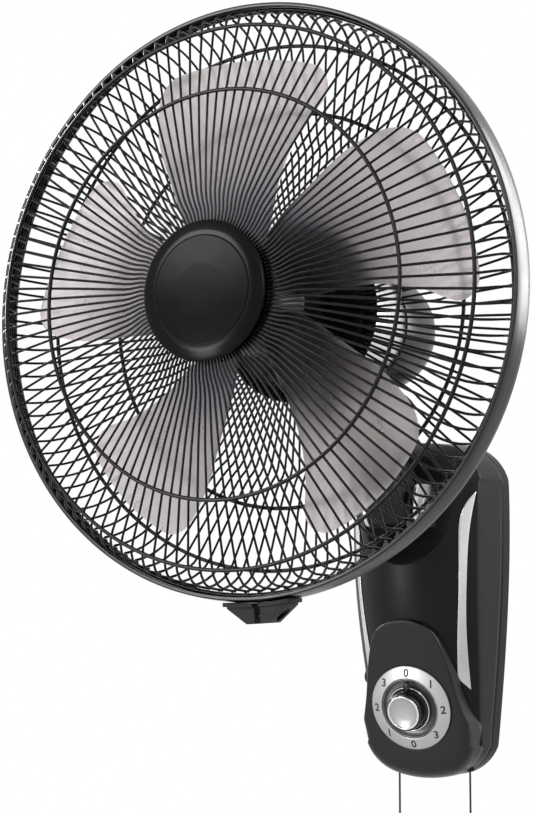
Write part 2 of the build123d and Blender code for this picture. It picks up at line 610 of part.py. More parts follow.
neck_arm -= tube(TILT_BOLT + RUNNING_GAP, 0, -BARREL_HALF - 1, BARREL_HALF + 1, TILT_AXIS)
neck_arm -= tube(PIVOT_RADIUS + RUNNING_GAP, 0, SOCKET_BOTTOM - 1, SOCKET_TOP + 1, PIVOT)
neck_arm -= tube(SOCKET_RADIUS, 0, SOCKET_BOTTOM - 30, SOCKET_BOTTOM, PIVOT)
neck_arm -= tube(LINK_PIN_RADIUS + RUNNING_GAP, 0, LUG_TOP - LUG_THICK - 1, LUG_TOP + 1, LINK_PIN)
save("neck_arm", neck_arm)
LINK_TOP = 143.0
LINK_PIN_END = LINK_TOP - LINK_THICK - 2.5
link_pin = tube(LINK_PIN_RADIUS, 0, LINK_PIN_END, LUG_TOP + 1.5, LINK_PIN)
link_pin += tube(4.5, 0, LUG_TOP, LUG_TOP + 1.5, LINK_PIN)
link_pin += tube(4.5, 0, LINK_PIN_END, LINK_PIN_END + 2.0, LINK_PIN)
save("link_pin", link_pin)

# ---------------------------------------------------------------- swing pivot, bracket and motor
WASHER_GAP = 0.1
PIN_HEAD = 9.0
PIN_CLIP = 8.0
clip_top = SOCKET_BOTTOM - SEAT_GAP
pivot_pin = tube(PIVOT_RADIUS, 0, clip_top - 3, BRACKET_BOTTOM + BRACKET_THICK, PIVOT)
pivot_pin += tube(PIN_HEAD, 0, BRACKET_BOTTOM + BRACKET_THICK, BRACKET_BOTTOM + BRACKET_THICK + 3, PIVOT)
pivot_pin += tube(PIN_CLIP, 0, clip_top - 1.2, clip_top, PIVOT)
save("pivot_pin", pivot_pin)
washer_bottom = SOCKET_TOP + WASHER_GAP
thrust_washer = tube(SOCKET_RADIUS, PIVOT_RADIUS + RUNNING_GAP, washer_bottom, BRACKET_BOTTOM, PIVOT)
save("thrust_washer", thrust_washer)

BAND_RADIUS = MOTOR_RADIUS + 0.5
BRACKET_HALF = 22.0
bracket_front = PIVOT_FORWARD + SWING_MOTOR_REACH + SWING_MOTOR_RADIUS + 5
bracket_back = PIVOT_FORWARD - SOCKET_RADIUS - 4.5
swing_y = -(PIVOT_FORWARD + SWING_MOTOR_REACH)
saddle_top = HEAD_RISE - 0.8 * BAND_RADIUS
bracket_top = BRACKET_BOTTOM + BRACKET_THICK
motor_bracket = block(
    (-BRACKET_HALF, BRACKET_HALF), (-bracket_front, -bracket_back), (BRACKET_BOTTOM, bracket_top)
)
motor_bracket = fillet(motor_bracket.edges().filter_by(Axis.Z), 8)
for start in (BAND_START + 6, BAND_END - 16):
    saddle_depth = (-HEAD_REACH + start, -HEAD_REACH + start + 10)
    motor_bracket += block((-BRACKET_HALF, BRACKET_HALF), saddle_depth, (BRACKET_BOTTOM, saddle_top))
motor_bracket -= tube(BAND_RADIUS + PRESS_GAP, 0, -MOTOR_END, -MOTOR_FRONT, HEAD)
motor_bracket -= tube(PIVOT_RADIUS + PRESS_GAP, 0, SOCKET_BOTTOM, bracket_top + 1, PIVOT)
save("motor_bracket", motor_bracket)

SWING_SHAFT = Plane(origin=(0, swing_y, 0))
SWING_SHAFT_RADIUS = 3.0
swing_bottom = BRACKET_BOTTOM - SWING_MOTOR_HEIGHT
swing_motor = tube(SWING_MOTOR_RADIUS, 0, swing_bottom, BRACKET_BOTTOM, SWING_SHAFT)
swing_motor = fillet(swing_motor.edges().filter_by(GeomType.CIRCLE).group_by(Axis.Z)[0], 1.5)
swing_motor -= tube(SWING_SHAFT_RADIUS + RUNNING_GAP, 0, swing_bottom - 1, swing_bottom + 8, SWING_SHAFT)
save("swing_motor", swing_motor)

CRANK_TOP = swing_bottom - 1.0
CRANK_THICK = 3.0
CRANK_HALF = 4.5
CRANK_PIN_RADIUS = 2.5
OPEN_GAP = 0.6            # the linkage is open here: between the crank's pin and the link
CRANK_PIN = Plane(origin=(CRANK_ARM, swing_y, 0))
swing_crank = tube(SWING_SHAFT_RADIUS, 0, CRANK_TOP - CRANK_THICK, swing_bottom + 7.5, SWING_SHAFT)
swing_crank += tube(CRANK_HALF + 1.5, 0, CRANK_TOP - CRANK_THICK, CRANK_TOP, SWING_SHAFT)
swing_crank += block(
    (0, CRANK_ARM), (swing_y - CRANK_HALF, swing_y + CRANK_HALF), (CRANK_TOP - CRANK_THICK, CRANK_TOP)
)
swing_crank += tube(CRANK_HALF, 0, CRANK_TOP - CRANK_THICK, CRANK_TOP, CRANK_PIN)
swing_crank += tube(CRANK_PIN_RADIUS, 0, LINK_TOP + OPEN_GAP, CRANK_TOP, CRANK_PIN)
save("swing_crank", swing_crank)

link_ends = [(LINK_PIN_OFFSET, -PIVOT_FORWARD), (CRANK_ARM, swing_y)]
link_length = math.dist(*link_ends)
link_run = (link_ends[1][0] - link_ends[0][0], link_ends[1][1] - link_ends[0][1])
link_turn = math.degrees(math.atan2(link_run[1], link_run[0]))
link_frame = Pos(*link_ends[0], LINK_TOP - LINK_THICK) * Rot(0, 0, link_turn)
link_face = Rectangle(link_length, 2 * CRANK_HALF, align=(Align.MIN, Align.CENTER))
link_face += Circle(CRANK_HALF + 1) + Pos(link_length, 0) * Circle(CRANK_HALF + 1)
swing_link = link_frame * extrude(link_face, LINK_THICK)
swing_link -= tube(LINK_PIN_RADIUS + RUNNING_GAP, 0, SOCKET_BOTTOM, CRANK_TOP, LINK_PIN)
save("swing_link", swing_link)

# ---------------------------------------------------------------- motor
SPIGOT_RADIUS = 12.0
SPIGOT_FRONT = MOTOR_FRONT - 11.0
SHAFT_CLEAR = 0.8
SCREW_CIRCLE = 42.0
BEARING_SEAT = 8.0        # the bearings stand this far inside the covers' ends
CUP_RADIUS = 12.0         # outside of the cup that holds a bearing
shaft_hole = SHAFT_RADIUS + SHAFT_CLEAR
inside = MOTOR_RADIUS - MOTOR_WALL
bearing_front = -MOTOR_FRONT - BEARING_SEAT
front_bearing = bearing_front - BEARING_LENGTH
front_profile = [
    (shaft_hole, -SPIGOT_FRONT), (SPIGOT_RADIUS, -SPIGOT_FRONT), (SPIGOT_RADIUS, -MOTOR_FRONT),
    (MOTOR_RADIUS - 5, -MOTOR_FRONT), (MOTOR_RADIUS - 1.2, -MOTOR_FRONT - 2),
    (MOTOR_RADIUS, -MOTOR_FRONT - 5), (MOTOR_RADIUS, -BAND_START), (inside, -BAND_START), (inside, -MOTOR_FRONT - 5),
    (MOTOR_RADIUS - 5, -MOTOR_FRONT - 3), (CUP_RADIUS, -MOTOR_FRONT - 3), (CUP_RADIUS, front_bearing),
    (BEARING_RADIUS, front_bearing), (BEARING_RADIUS, bearing_front), (shaft_hole, bearing_front),
]
motor_front_cover = turned(front_profile, HEAD)
front_shape = tube(MOTOR_RADIUS - 0.5, 0, -BAND_START, -MOTOR_FRONT - 2.5, HEAD)
BELL_OUTER = MOTOR_RADIUS + 2.0        # the rear cover's outside
rear_bearing = -MOTOR_END + 14
rear_profile = [
    (BEARING_RADIUS, rear_bearing + BEARING_LENGTH), (CUP_RADIUS, rear_bearing + BEARING_LENGTH),
    (CUP_RADIUS, -MOTOR_END + 3), (26, -MOTOR_END + 3.6), (38, -MOTOR_END + 8), (46, -MOTOR_END + 20),
    (MOTOR_RADIUS, -MOTOR_END + 34), (MOTOR_RADIUS, -BAND_END), (BELL_OUTER, -BAND_END),
    (BELL_OUTER, -MOTOR_END + 34), (48.5, -MOTOR_END + 18), (40, -MOTOR_END + 5.5), (27, -MOTOR_END + 1),
    (0, -MOTOR_END), (0, -MOTOR_END + 10), (shaft_hole, -MOTOR_END + 10), (shaft_hole, rear_bearing),
    (BEARING_RADIUS, rear_bearing),
]
motor_rear_cover = turned(rear_profile, HEAD)
rear_shape = tube(48.5, 0, -MOTOR_END + 34, -BAND_END, HEAD)
SCREW_ROD = 1.5
BOSS = 6.5
motor_screws = []
for quarter in range(4):
    x, y, _ = spot(SCREW_CIRCLE, 0, 45 + 90 * quarter)
    screw_axis = Plane(HEAD.location * Pos(x, y, 0))
    motor_front_cover += tube(BOSS, 0, -BAND_START + 1, -MOTOR_FRONT - 2.5, screw_axis) & front_shape
    motor_front_cover -= tube(SCREW_ROD + RUNNING_GAP, 0, -BAND_START - 1, -BAND_START + 12, screw_axis)
    motor_rear_cover += tube(BOSS, 0, -BAND_END - 14, -BAND_END - 2, screw_axis) & rear_shape
    motor_rear_cover -= tube(SCREW_ROD + RUNNING_GAP, 0, -BAND_END - 20, -BAND_END, screw_axis)
    screw = tube(SCREW_ROD, 0, -BAND_END - 17, -BAND_START + 11, screw_axis)
    motor_screws.append(screw + tube(3.2, 0, -BAND_END - 17, -BAND_END - 14, screw_axis))
VENT_COUNT = 12
for index in range(VENT_COUNT):
    slot = Pos(33, 0, -MOTOR_END) * Box(16, 3.2, 24)
    motor_rear_cover -= HEAD.location * (Rot(0, 0, 360 / VENT_COUNT * (index + 0.5)) * slot)
save("motor_front_cover", motor_front_cover)
save("motor_rear_cover", motor_rear_cover)
save("motor_screws", motor_screws)
save("motor_band", tube(BAND_RADIUS, BAND_RADIUS - MOTOR_WALL, -BAND_END, -BAND_START, HEAD))

stator_outer = BAND_RADIUS - MOTOR_WALL - RUNNING_GAP
stator_core = tube(stator_outer, STATOR_BORE, -STATOR_START - STATOR_LENGTH, -STATOR_START, HEAD)
for quarter in range(4):
    x, y, _ = spot(SCREW_CIRCLE, 0, 45 + 90 * quarter)
    screw_axis = Plane(HEAD.location * Pos(x, y, 0))
    stator_core -= tube(SCREW_ROD + RUNNING_GAP, 0, -BAND_END, -BAND_START, screw_axis)
save("stator_core", stator_core)
WINDING_REACH = 11.0
WINDING_OUTER = 39.5
WINDING_INNER = 27.0
winding = tube(WINDING_OUTER, WINDING_INNER, -STATOR_START, -STATOR_START + WINDING_REACH, HEAD)
rear_shift = Pos(0, STATOR_LENGTH + WINDING_REACH, 0)
save("stator_windings", [winding, rear_shift * winding])
bearings = [
    tube(BEARING_RADIUS - PRESS_GAP, SHAFT_RADIUS + RUNNING_GAP, low, low + BEARING_LENGTH, HEAD)
    for low in (rear_bearing, front_bearing)
]
save("bearings", bearings)

# ---------------------------------------------------------------- rotor
SHAFT_FRONT = 30.0
shaft = tube(SHAFT_RADIUS, 0, -MOTOR_END + 13, SHAFT_FRONT, HEAD)
DRIVE_PIN = 1.5
PIN_DEPTH = -22.0
PIN_HALF = 9.0
pin_frame = Plane(origin=(0, -HEAD_REACH - PIN_DEPTH, HEAD_RISE), z_dir=(1, 0, 0))
save("rotor_shaft", shaft + tube(DRIVE_PIN, 0, -PIN_HALF, PIN_HALF, pin_frame))
AIR_GAP = 0.4
core_radius = STATOR_BORE - AIR_GAP
core_start = -STATOR_START - STATOR_LENGTH
save("rotor_core", tube(core_radius, SHAFT_RADIUS + PRESS_GAP, core_start, -STATOR_START, HEAD))

HUB_BORE = SHAFT_RADIUS + PRESS_GAP
hub_profile = [
    (HUB_BORE, HUB_FRONT), (HUB_RADIUS - 6, HUB_FRONT), (HUB_RADIUS - 1.5, HUB_FRONT - 2.5),
    (HUB_RADIUS, HUB_FRONT - 7), (HUB_RADIUS, -HUB_BACK), (HUB_RADIUS - HUB_WALL, -HUB_BACK),
    (HUB_RADIUS - HUB_WALL, HUB_FRONT - 7),
    (HUB_RADIUS - 6, HUB_FRONT - HUB_WALL), (12, HUB_FRONT - HUB_WALL), (12, -HUB_BACK),
    (HUB_BORE, -HUB_BACK),
]
# Blade sections, each square to the blade: distance from the axis, half width, the middle's
# height, slope from leading to trailing edge, sag towards the back.
BLADE_SECTIONS = [
    (30.0, 60.0, -9.0, 0.50, 3.0),
    (90.0, 80.0, -8.5, 0.38, 5.0),
    (140.0, 95.0, -7.8, 0.28, 6.0),
    (192.0, 105.0, -7.5, 0.235, 7.0),
]
# The blade's outline, seen from in front with the blade upright: (distance from the axis, degrees
# clockwise from the blade's middle).
LEADING = [(158.0, 21.0), (147.0, 19.3), (130.0, 17.0), (112.0, 15.2), (92.0, 14.2), (66.0, 15.3)]
TIP_LEADING = 21.5
ROOT_LEADING = 17.5
ROOT_TRAILING = -40.0
TRAILING = [(60.0, -38.0), (95.0, -32.0), (140.0, -27.5), (172.0, -23.0)]
TIP_TRAILING = -22.0
BLADE_CORNER = 20.0


def blade_section(level):
    """A thin curved strip across the blade."""
    distance, half, height, slope, sag = level
    ends = [(-half, height + slope * half), (half, height - slope * half)]
    middle = (0, height - sag)
    low_ends = [(x, z - BLADE_THICK) for x, z in ends]
    low_middle = (0, middle[1] - BLADE_THICK)
    lines = [
        ThreePointArc(ends[0], middle, ends[1]),
        Line(ends[1], low_ends[1]),
        ThreePointArc(low_ends[1], low_middle, low_ends[0]),
        Line(low_ends[0], ends[0]),
    ]
    section_plane = Plane(origin=(0, distance, 0), x_dir=(1, 0, 0), z_dir=(0, -1, 0))
    return section_plane * make_face([line.edge() for line in lines])


def clockwise(radius, degrees):
    angle = math.radians(degrees)
    return (radius * math.sin(angle), radius * math.cos(angle))


def blade_outline():
    tip_lead, tip_trail = clockwise(BLADE_RADIUS, TIP_LEADING), clockwise(BLADE_RADIUS, TIP_TRAILING)
    tip = ThreePointArc(tip_trail, clockwise(BLADE_RADIUS, 0), tip_lead)
    lead_end = clockwise(HUB_RADIUS - 2, ROOT_LEADING)
    lead = Spline(tip_lead, *[clockwise(*point) for point in LEADING], lead_end)
    trail_start = clockwise(HUB_RADIUS - 2, ROOT_TRAILING)
    root = Line(lead_end, trail_start)
    trail = Spline(trail_start, *[clockwise(*point) for point in TRAILING], tip_trail)
    outline = make_face([tip.edge(), lead.edge(), root.edge(), trail.edge()])
    corners = [v for v in outline.vertices() if math.hypot(v.X, v.Y) > BLADE_RADIUS - 1]
    return fillet(corners, BLADE_CORNER)


blade_sheet = loft([blade_section(level) for level in BLADE_SECTIONS])
blade_prism = Pos(0, 0, -60) * extrude(blade_outline(), 120)
blade = blade_sheet & blade_prism
blade -= Cylinder(HUB_RADIUS - HUB_WALL / 2, 200)
fan_blades = revolve(make_face(Plane.XZ * Polyline(*hub_profile, close=True)), Axis.Z)
for index in range(BLADE_COUNT):
    fan_blades += Rot(0, 0, -360 / BLADE_COUNT * index) * blade
pin_slot = tube(DRIVE_PIN + PRESS_GAP, 0, -PIN_HALF - RUNNING_GAP, PIN_HALF + RUNNING_GAP, pin_frame)
fan_blades = HEAD.location * fan_blades - pin_slot
save("fan_blades", fan_blades)
NUT_FRONT = 26.0
NUT_RADIUS = 15.0
nut_profile = [
    (HUB_BORE, HUB_FRONT), (NUT_RADIUS, HUB_FRONT), (NUT_RADIUS, HUB_FRONT + 6), (11, NUT_FRONT + 4),
    (6, NUT_FRONT + 7), (0, NUT_FRONT + 8), (0, SHAFT_FRONT + 0.5), (HUB_BORE, SHAFT_FRONT + 0.5),
]
save("blade_nut", turned(nut_profile, HEAD))

# ---------------------------------------------------------------- guards
PLATE_FRONT = -MOTOR_FRONT + REAR_PLATE_THICK
NUT_OUTER = 26.0
rear_plate = tube(REAR_PLATE_RADIUS, SPIGOT_RADIUS + RUNNING_GAP, -MOTOR_FRONT, PLATE_FRONT, HEAD)
save("rear_guard_plate", rear_plate)
guard_nut = tube(NUT_OUTER, SPIGOT_RADIUS + RUNNING_GAP, PLATE_FRONT, -SPIGOT_FRONT - 0.5, HEAD)
for index in range(8):
    groove = Pos(NUT_OUTER, 0, 0) * Cylinder(2.5, 200)
    guard_nut -= HEAD.location * (Rot(0, 0, 45 * index) * groove)
save("guard_nut", guard_nut)


def hoop_inside(height):
    """Inside radius of the hoop's wall at a height."""
    share = (-height - HOOP_LIP_THICK) / (HOOP_DEPTH - 2 * HOOP_LIP_THICK)
    return HOOP_RADIUS - HOOP_WALL + share * (HOOP_REAR_RADIUS - HOOP_RADIUS)


def rim_ring(height):
    """Radius and height of a rim wire's ring, clear of the hoop's wall all along the wire."""
    nearest = min(hoop_inside(height - RIM_WIRE), hoop_inside(height + RIM_WIRE))
    return nearest - RIM_GAP - RIM_WIRE, height


hoop_profile = [
    (HOOP_RADIUS, 0), (HOOP_REAR_RADIUS, -HOOP_DEPTH), (HOOP_REAR_RADIUS - HOOP_REAR_LIP, -HOOP_DEPTH),
    (HOOP_REAR_RADIUS - HOOP_REAR_LIP, -HOOP_DEPTH + HOOP_LIP_THICK),
    (HOOP_REAR_RADIUS - HOOP_WALL, -HOOP_DEPTH + HOOP_LIP_THICK),
    (HOOP_RADIUS - HOOP_WALL, -HOOP_LIP_THICK), (HOOP_RADIUS - HOOP_LIP, -HOOP_LIP_THICK),
    (HOOP_RADIUS - HOOP_LIP, 0),
]
save("guard_hoop", turned(hoop_profile, HEAD))
front_rim = rim_ring(-FRONT_RIM_BACK)
rear_rim = rim_ring(-REAR_RIM_BACK)
LAY_SLOPE = 1.12          # the wires slope under a ring, so the ring stands this much further off
lay = (GUARD_WIRE + RING_WIRE) * LAY_SLOPE      # a ring's centre to the wires' centres
front_rings = [
    ring_wire(RING_RADIUS, RING_FORWARD + lay, RING_WIRE),
    ring_wire(OUTER_RING_RADIUS, OUTER_RING_FORWARD + lay, RING_WIRE),
    ring_wire(*front_rim, RIM_WIRE),
]
save("front_guard_rings", front_rings)
rear_rings = [
    ring_wire(REAR_RING_RADIUS, -REAR_RING_BACK, RING_WIRE),
    ring_wire(REAR_OUTER_RADIUS, -REAR_OUTER_BACK, RING_WIRE),
    ring_wire(*rear_rim, RIM_WIRE),
]
save("rear_guard_rings", rear_rings)


def guard_wires(stations, wire=GUARD_WIRE):
    """All the radial wires of a guard, from one wire's stations (radius, height, degrees)."""
    points = [spot(*station) for station in stations]
    path = Polyline(*points)
    section = Plane(origin=path @ 0, z_dir=path % 0) * Circle(wire)
    one = sweep(section, path=path, transition=Transition.RIGHT)
    return [HEAD.location * (Rot(0, 0, 360 / WIRE_COUNT * index) * one) for index in range(WIRE_COUNT)]


front_end = front_rim[0] - RIM_WIRE - GUARD_WIRE - RUNNING_GAP
front_stations = [
    (43.0, CAP_WIRE_FORWARD, -CAP_KINK),
    (58.0, CAP_WIRE_FORWARD - 0.9, -CAP_KINK),
    (72.0, CAP_WIRE_FORWARD - 2.0, 0),
    (110.0, 34.8, 0),
    (RING_RADIUS, RING_FORWARD, 0),
    (OUTER_RING_RADIUS, OUTER_RING_FORWARD, 0),
    (front_end - 7.4, 14.2, 0.2 * WIRE_HOOK),
    (front_end - 2.1, 8.0, 0.5 * WIRE_HOOK),
    (front_end, front_rim[1] - 0.6, WIRE_HOOK),
]
save("front_guard_wires", guard_wires(front_stations))
rear_end = rear_rim[0] - RIM_WIRE - GUARD_WIRE - RUNNING_GAP
rear_stations = [
    (61.0, PLATE_FRONT + GUARD_WIRE + 0.1, 0),
    (76.0, PLATE_FRONT + 2.0, 0),
    (REAR_STEP_RADIUS - 5, -80.5, 0),
    (REAR_STEP_RADIUS + 5, -71.5, 0),
    (REAR_RING_RADIUS, -REAR_RING_BACK + lay, 0),
    (REAR_OUTER_RADIUS, -REAR_OUTER_BACK + lay, 0),
    (rear_end - 8.8, -36.5, 0),
    (rear_end - 2.5, -24.0, 0),
    (rear_end, rear_rim[1] + 0.6, 0),
]
save("rear_guard_wires", guard_wires(rear_stations))

cap_seat = CAP_WIRE_FORWARD + GUARD_WIRE + RUNNING_GAP
cap_profile = [
    (0, CAP_DISC_FORWARD - 1.6), (CAP_DISC_RADIUS + 0.1, CAP_DISC_FORWARD - 1.6),
    (CAP_DISC_RADIUS + 0.1, CAP_DISC_FORWARD - 0.7), (CAP_RADIUS - 4, CAP_FORWARD + 1.8),
    (CAP_RADIUS - 0.8, CAP_FORWARD + 0.9), (CAP_RADIUS, CAP_FORWARD), (CAP_RADIUS - 0.4, CAP_FORWARD - 1.2),
    (CAP_RADIUS - 3, cap_seat), (CAP_RADIUS - 9.6, cap_seat),
    (CAP_RADIUS - 9.6, CAP_DISC_FORWARD - 4.6), (8, CAP_DISC_FORWARD - 4.6),
    (8, cap_seat - 1), (0, cap_seat - 1),
]
save("guard_cap", turned(cap_profile, HEAD))
disc_profile = [
    (0, CAP_DISC_FORWARD - 1.55), (CAP_DISC_RADIUS, CAP_DISC_FORWARD - 1.55),
    (CAP_DISC_RADIUS, CAP_DISC_FORWARD - 0.4),
    (CAP_DISC_RADIUS - 1, CAP_DISC_FORWARD), (0, CAP_DISC_FORWARD + 0.8),
]
save("guard_cap_disc", turned(disc_profile, HEAD))
backing_top = CAP_WIRE_FORWARD - GUARD_WIRE - 1.1
backing_profile = [
    (0, cap_seat - 1.05), (7, cap_seat - 1.05), (7, backing_top), (CAP_RADIUS - 3, backing_top),
    (CAP_RADIUS - 3, backing_top - 2), (0, backing_top - 2),
]
save("cap_backing", turned(backing_profile, HEAD))

# ---------------------------------------------------------------- hoop clip
CLIP_ANGLE = -86.0
CLIP_LENGTH = 25.0
CLIP_GAP = 5.0
CLIP_THICK = 3.0
CLIP_SCREW = 2.0
CLIP_SCREW_DEPTH = 9.5    # the screw's axis, outside the clip's band
SCREW_HEAD = 4.0
LUG_DEPTH = 15.0
LUG_HALF = 8.0
clip_inside = max(HOOP_RADIUS, HOOP_REAR_RADIUS) + 0.1
clip_frame = Plane(HEAD.location * Rot(0, 0, CLIP_ANGLE + 90) * Pos(0, -clip_inside, -HOOP_DEPTH / 2))
hoop_space = Pos(0, clip_inside, 0) * Cylinder(clip_inside, HOOP_DEPTH + 4)
clip_band = Pos(0, clip_inside, 0) * Cylinder(clip_inside + CLIP_THICK, HOOP_DEPTH + 2) - hoop_space
reach = CLIP_GAP / 2 + CLIP_LENGTH
clip_zone = Pos(CLIP_GAP / 2 + CLIP_LENGTH / 2, 0, 0) * Box(CLIP_LENGTH, 20, HOOP_DEPTH + 8)
lug_corners = [
    (CLIP_GAP / 2, 0.5), (CLIP_GAP / 2, -LUG_DEPTH), (CLIP_GAP / 2 + 7, -LUG_DEPTH),
    (reach - 2, -CLIP_THICK), (reach - 2, 1.2),
]
lug_body = extrude(make_face(Polyline(*lug_corners, close=True)), LUG_HALF, both=True) - hoop_space
half = (clip_band & clip_zone) + lug_body
to_start = (Align.CENTER, Align.CENTER, Align.MIN)
screw_line = Pos(0, -CLIP_SCREW_DEPTH, 0) * Rot(0, 90, 0)
head_line = Pos(CLIP_GAP / 2 + 5, -CLIP_SCREW_DEPTH, 0) * Rot(0, 90, 0)
half -= screw_line * Cylinder(CLIP_SCREW + RUNNING_GAP, 80)
half -= head_line * Cylinder(SCREW_HEAD + SEAT_GAP, 30, align=to_start)
save("hoop_clips", [clip_frame.location * side for side in mirrored(half)])
screw = screw_line * Cylinder(CLIP_SCREW, 20) + head_line * Cylinder(SCREW_HEAD, 3, align=to_start)
save("hoop_screw", clip_frame.location * screw)

for name, shape in nodes.items():
    if not shape.is_valid:
        print("NOT VALID", name)
print(len(nodes), "nodes")
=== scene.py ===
import math

import bmesh
import bpy
import numpy as np
from mathutils import Matrix, Vector


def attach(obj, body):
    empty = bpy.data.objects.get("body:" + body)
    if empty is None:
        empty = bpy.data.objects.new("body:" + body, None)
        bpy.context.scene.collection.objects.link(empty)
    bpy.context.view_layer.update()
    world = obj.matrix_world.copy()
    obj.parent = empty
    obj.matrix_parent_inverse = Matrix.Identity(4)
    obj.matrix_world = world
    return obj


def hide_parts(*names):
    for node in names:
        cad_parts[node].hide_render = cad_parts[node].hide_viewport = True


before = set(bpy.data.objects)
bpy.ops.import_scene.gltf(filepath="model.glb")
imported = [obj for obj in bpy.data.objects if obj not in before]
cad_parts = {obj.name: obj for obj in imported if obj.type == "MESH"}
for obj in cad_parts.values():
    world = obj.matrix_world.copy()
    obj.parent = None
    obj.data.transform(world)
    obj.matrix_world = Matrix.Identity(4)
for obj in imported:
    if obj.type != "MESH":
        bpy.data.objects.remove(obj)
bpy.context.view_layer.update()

# ------------------------------------------------------------------------------- camera
# The photograph was taken from low down on the fan's right, looking slightly up at its face.
# Sizes in this file are millimetres in the fan's own frame: origin at the wall screws' centre,
# +Z up, the wall at Y = 0 and the blades towards -Y.
MM = 0.001
CAMERA_AROUND = 30.63          # degrees to the right of straight ahead
CAMERA_ABOVE = -5.16
CAMERA_PLACE = (688.3, -1470.5, 35.1)
CAMERA_LENS = 79.70


def new_object(name, data):
    """A named object around its data, put in the scene."""
    obj = bpy.data.objects.new(name, data)
    bpy.context.scene.collection.objects.link(obj)
    return obj


around, above = math.radians(CAMERA_AROUND), math.radians(CAMERA_ABOVE)
right = (math.cos(around), math.sin(around), 0.0)
back = (math.sin(around) * math.cos(above), -math.cos(around) * math.cos(above), math.sin(above))
up = (-math.sin(around) * math.sin(above), math.cos(around) * math.sin(above), math.cos(above))
camera_data = bpy.data.cameras.new("camera")
camera_data.lens = CAMERA_LENS
camera_data.sensor_width = 36.0
camera = new_object("camera", camera_data)
camera.matrix_world = Matrix(
    [(right[i], up[i], back[i], CAMERA_PLACE[i] * MM) for i in range(3)] + [(0, 0, 0, 1)]
)
bpy.context.scene.camera = camera
bpy.context.scene.view_settings.view_transform = "Standard"

# ------------------------------------------------------------------------------- light
# A white studio: large soft lamps, and a world that the camera, metal and clear plastic see as
# plain white.
WORLD_LIGHT = 0.32
LAMPS = [
    # name, place, aimed at, width, height, watts
    ("lamp_front_left", (-820, -1650, 800), (0, -350, 200), 600, 500, 17),
    ("lamp_front_right", (500, -1900, 700), (0, -350, 150), 350, 500, 6),
    ("lamp_front_low", (-760, -1640, -80), (0, -80, 0), 300, 400, 8),
    ("lamp_hoop_right", (560, 160, 480), (220, -360, 280), 250, 600, 6),
    ("lamp_left_back", (-1250, 300, 700), (-100, -300, 200), 500, 700, 16),
]


def link(tree, start, end):
    """Joins an output socket to an input socket."""
    tree.links.new(start, end)


world = bpy.data.worlds.new("studio")
bpy.context.scene.world = world
world.use_nodes = True
world_tree = world.node_tree
background = world_tree.nodes["Background"]
background.inputs["Color"].default_value = (1, 1, 1, 1)
path_node = world_tree.nodes.new("ShaderNodeLightPath")
seen = world_tree.nodes.new("ShaderNodeMath")
seen.operation = "MAXIMUM"
link(world_tree, path_node.outputs["Is Camera Ray"], seen.inputs[0])
link(world_tree, path_node.outputs["Is Transmission Ray"], seen.inputs[1])
shown = world_tree.nodes.new("ShaderNodeMath")
shown.operation = "MAXIMUM"
link(world_tree, seen.outputs[0], shown.inputs[0])
link(world_tree, path_node.outputs["Is Glossy Ray"], shown.inputs[1])
strength = world_tree.nodes.new("ShaderNodeMapRange")
strength.inputs["To Min"].default_value = WORLD_LIGHT
strength.inputs["To Max"].default_value = 1.0
link(world_tree, shown.outputs[0], strength.inputs["Value"])
link(world_tree, strength.outputs["Result"], background.inputs["Strength"])

for lamp_name, stand, aim, width, height, watts in LAMPS:
    lamp_data = bpy.data.lights.new(lamp_name, "AREA")
    lamp_data.shape = "RECTANGLE"
    lamp_data.size = width * MM
    lamp_data.size_y = height * MM
    lamp_data.energy = watts
    lamp = new_object(lamp_name, lamp_data)
    away = Vector(stand) - Vector(aim)
    lamp.rotation_euler = away.to_track_quat("Z", "Y").to_euler()
    lamp.location = [p * MM for p in stand]


# ------------------------------------------------------------------------------- housing shells
# Two moulded shells of satin black plastic hang on the wall plate: a shallow rear one and a deep
# crowned front one with a round bowl for the neck. A seam runs round the sides.
HOUSING_LEVELS = np.array([
    # height, half width at the wall, half width at the crease, crease's depth, crown's depth
    (-146, 50.0, 43.0, 31, 42), (-105, 54.5, 48.5, 37, 52), (-59, 59.0, 54.0, 43, 65),
    (-8, 63.0, 58.5, 50, 79), (44, 65.6, 61.0, 54, 83), (95, 66.0, 60.0, 53, 82), (147, 64.0, 57.0, 49, 76),
], dtype=float)
TOP, BOTTOM = 147.0, -146.0
END_ARCS = [                             # three points (half width, height) of each end and corner
    ((26, 144.6), (0, 147.0), (-26, 144.6)), ((26, 144.6), (52, 134.0), (67, 105.0)),
    ((56, -105.0), (44, -132.0), (24, -143.0)), ((24, -143.0), (0, -146.0), (-24, -143.0)),
]
SIDE_SLOPE, END_SLOPE = 9.0, 26.0        # depth gained per millimetre inwards
GRAZING = 0.25                           # a ray's least share of the slope that it crosses
TOP_FALL = (42.0, 38.0)                  # height over which the crown falls away, and how far
BOTTOM_FALL = (20.0, 18.0)
SIDE_DEPTH = 37.5                        # how far up the sides the even rows of the mesh go
CREASE_SOFT, SCOOP_SOFT = 5.0, 1.0
SCOOP_PLACE = (0.0, 132.0, 96.0)         # x, distance from the wall, height
SCOOP_RADIUS = 75.0
SEAM_DEPTH = 14.0
SEAM_GAP = 0.5
SHELL_WALL = 2.0


def grid_faces(rows, columns, close_rows=False, close_columns=False):
    """Quads of a grid of points, numbered row by row."""
    i, j = np.meshgrid(
        np.arange(rows if close_rows else rows - 1),
        np.arange(columns if close_columns else columns - 1),
        indexing="ij",
    )
    below, beside = (i + 1) % rows, (j + 1) % columns
    corners = [i * columns + j, i * columns + beside, below * columns + beside, below * columns + j]
    return np.stack(corners, -1).reshape(-1, 4)


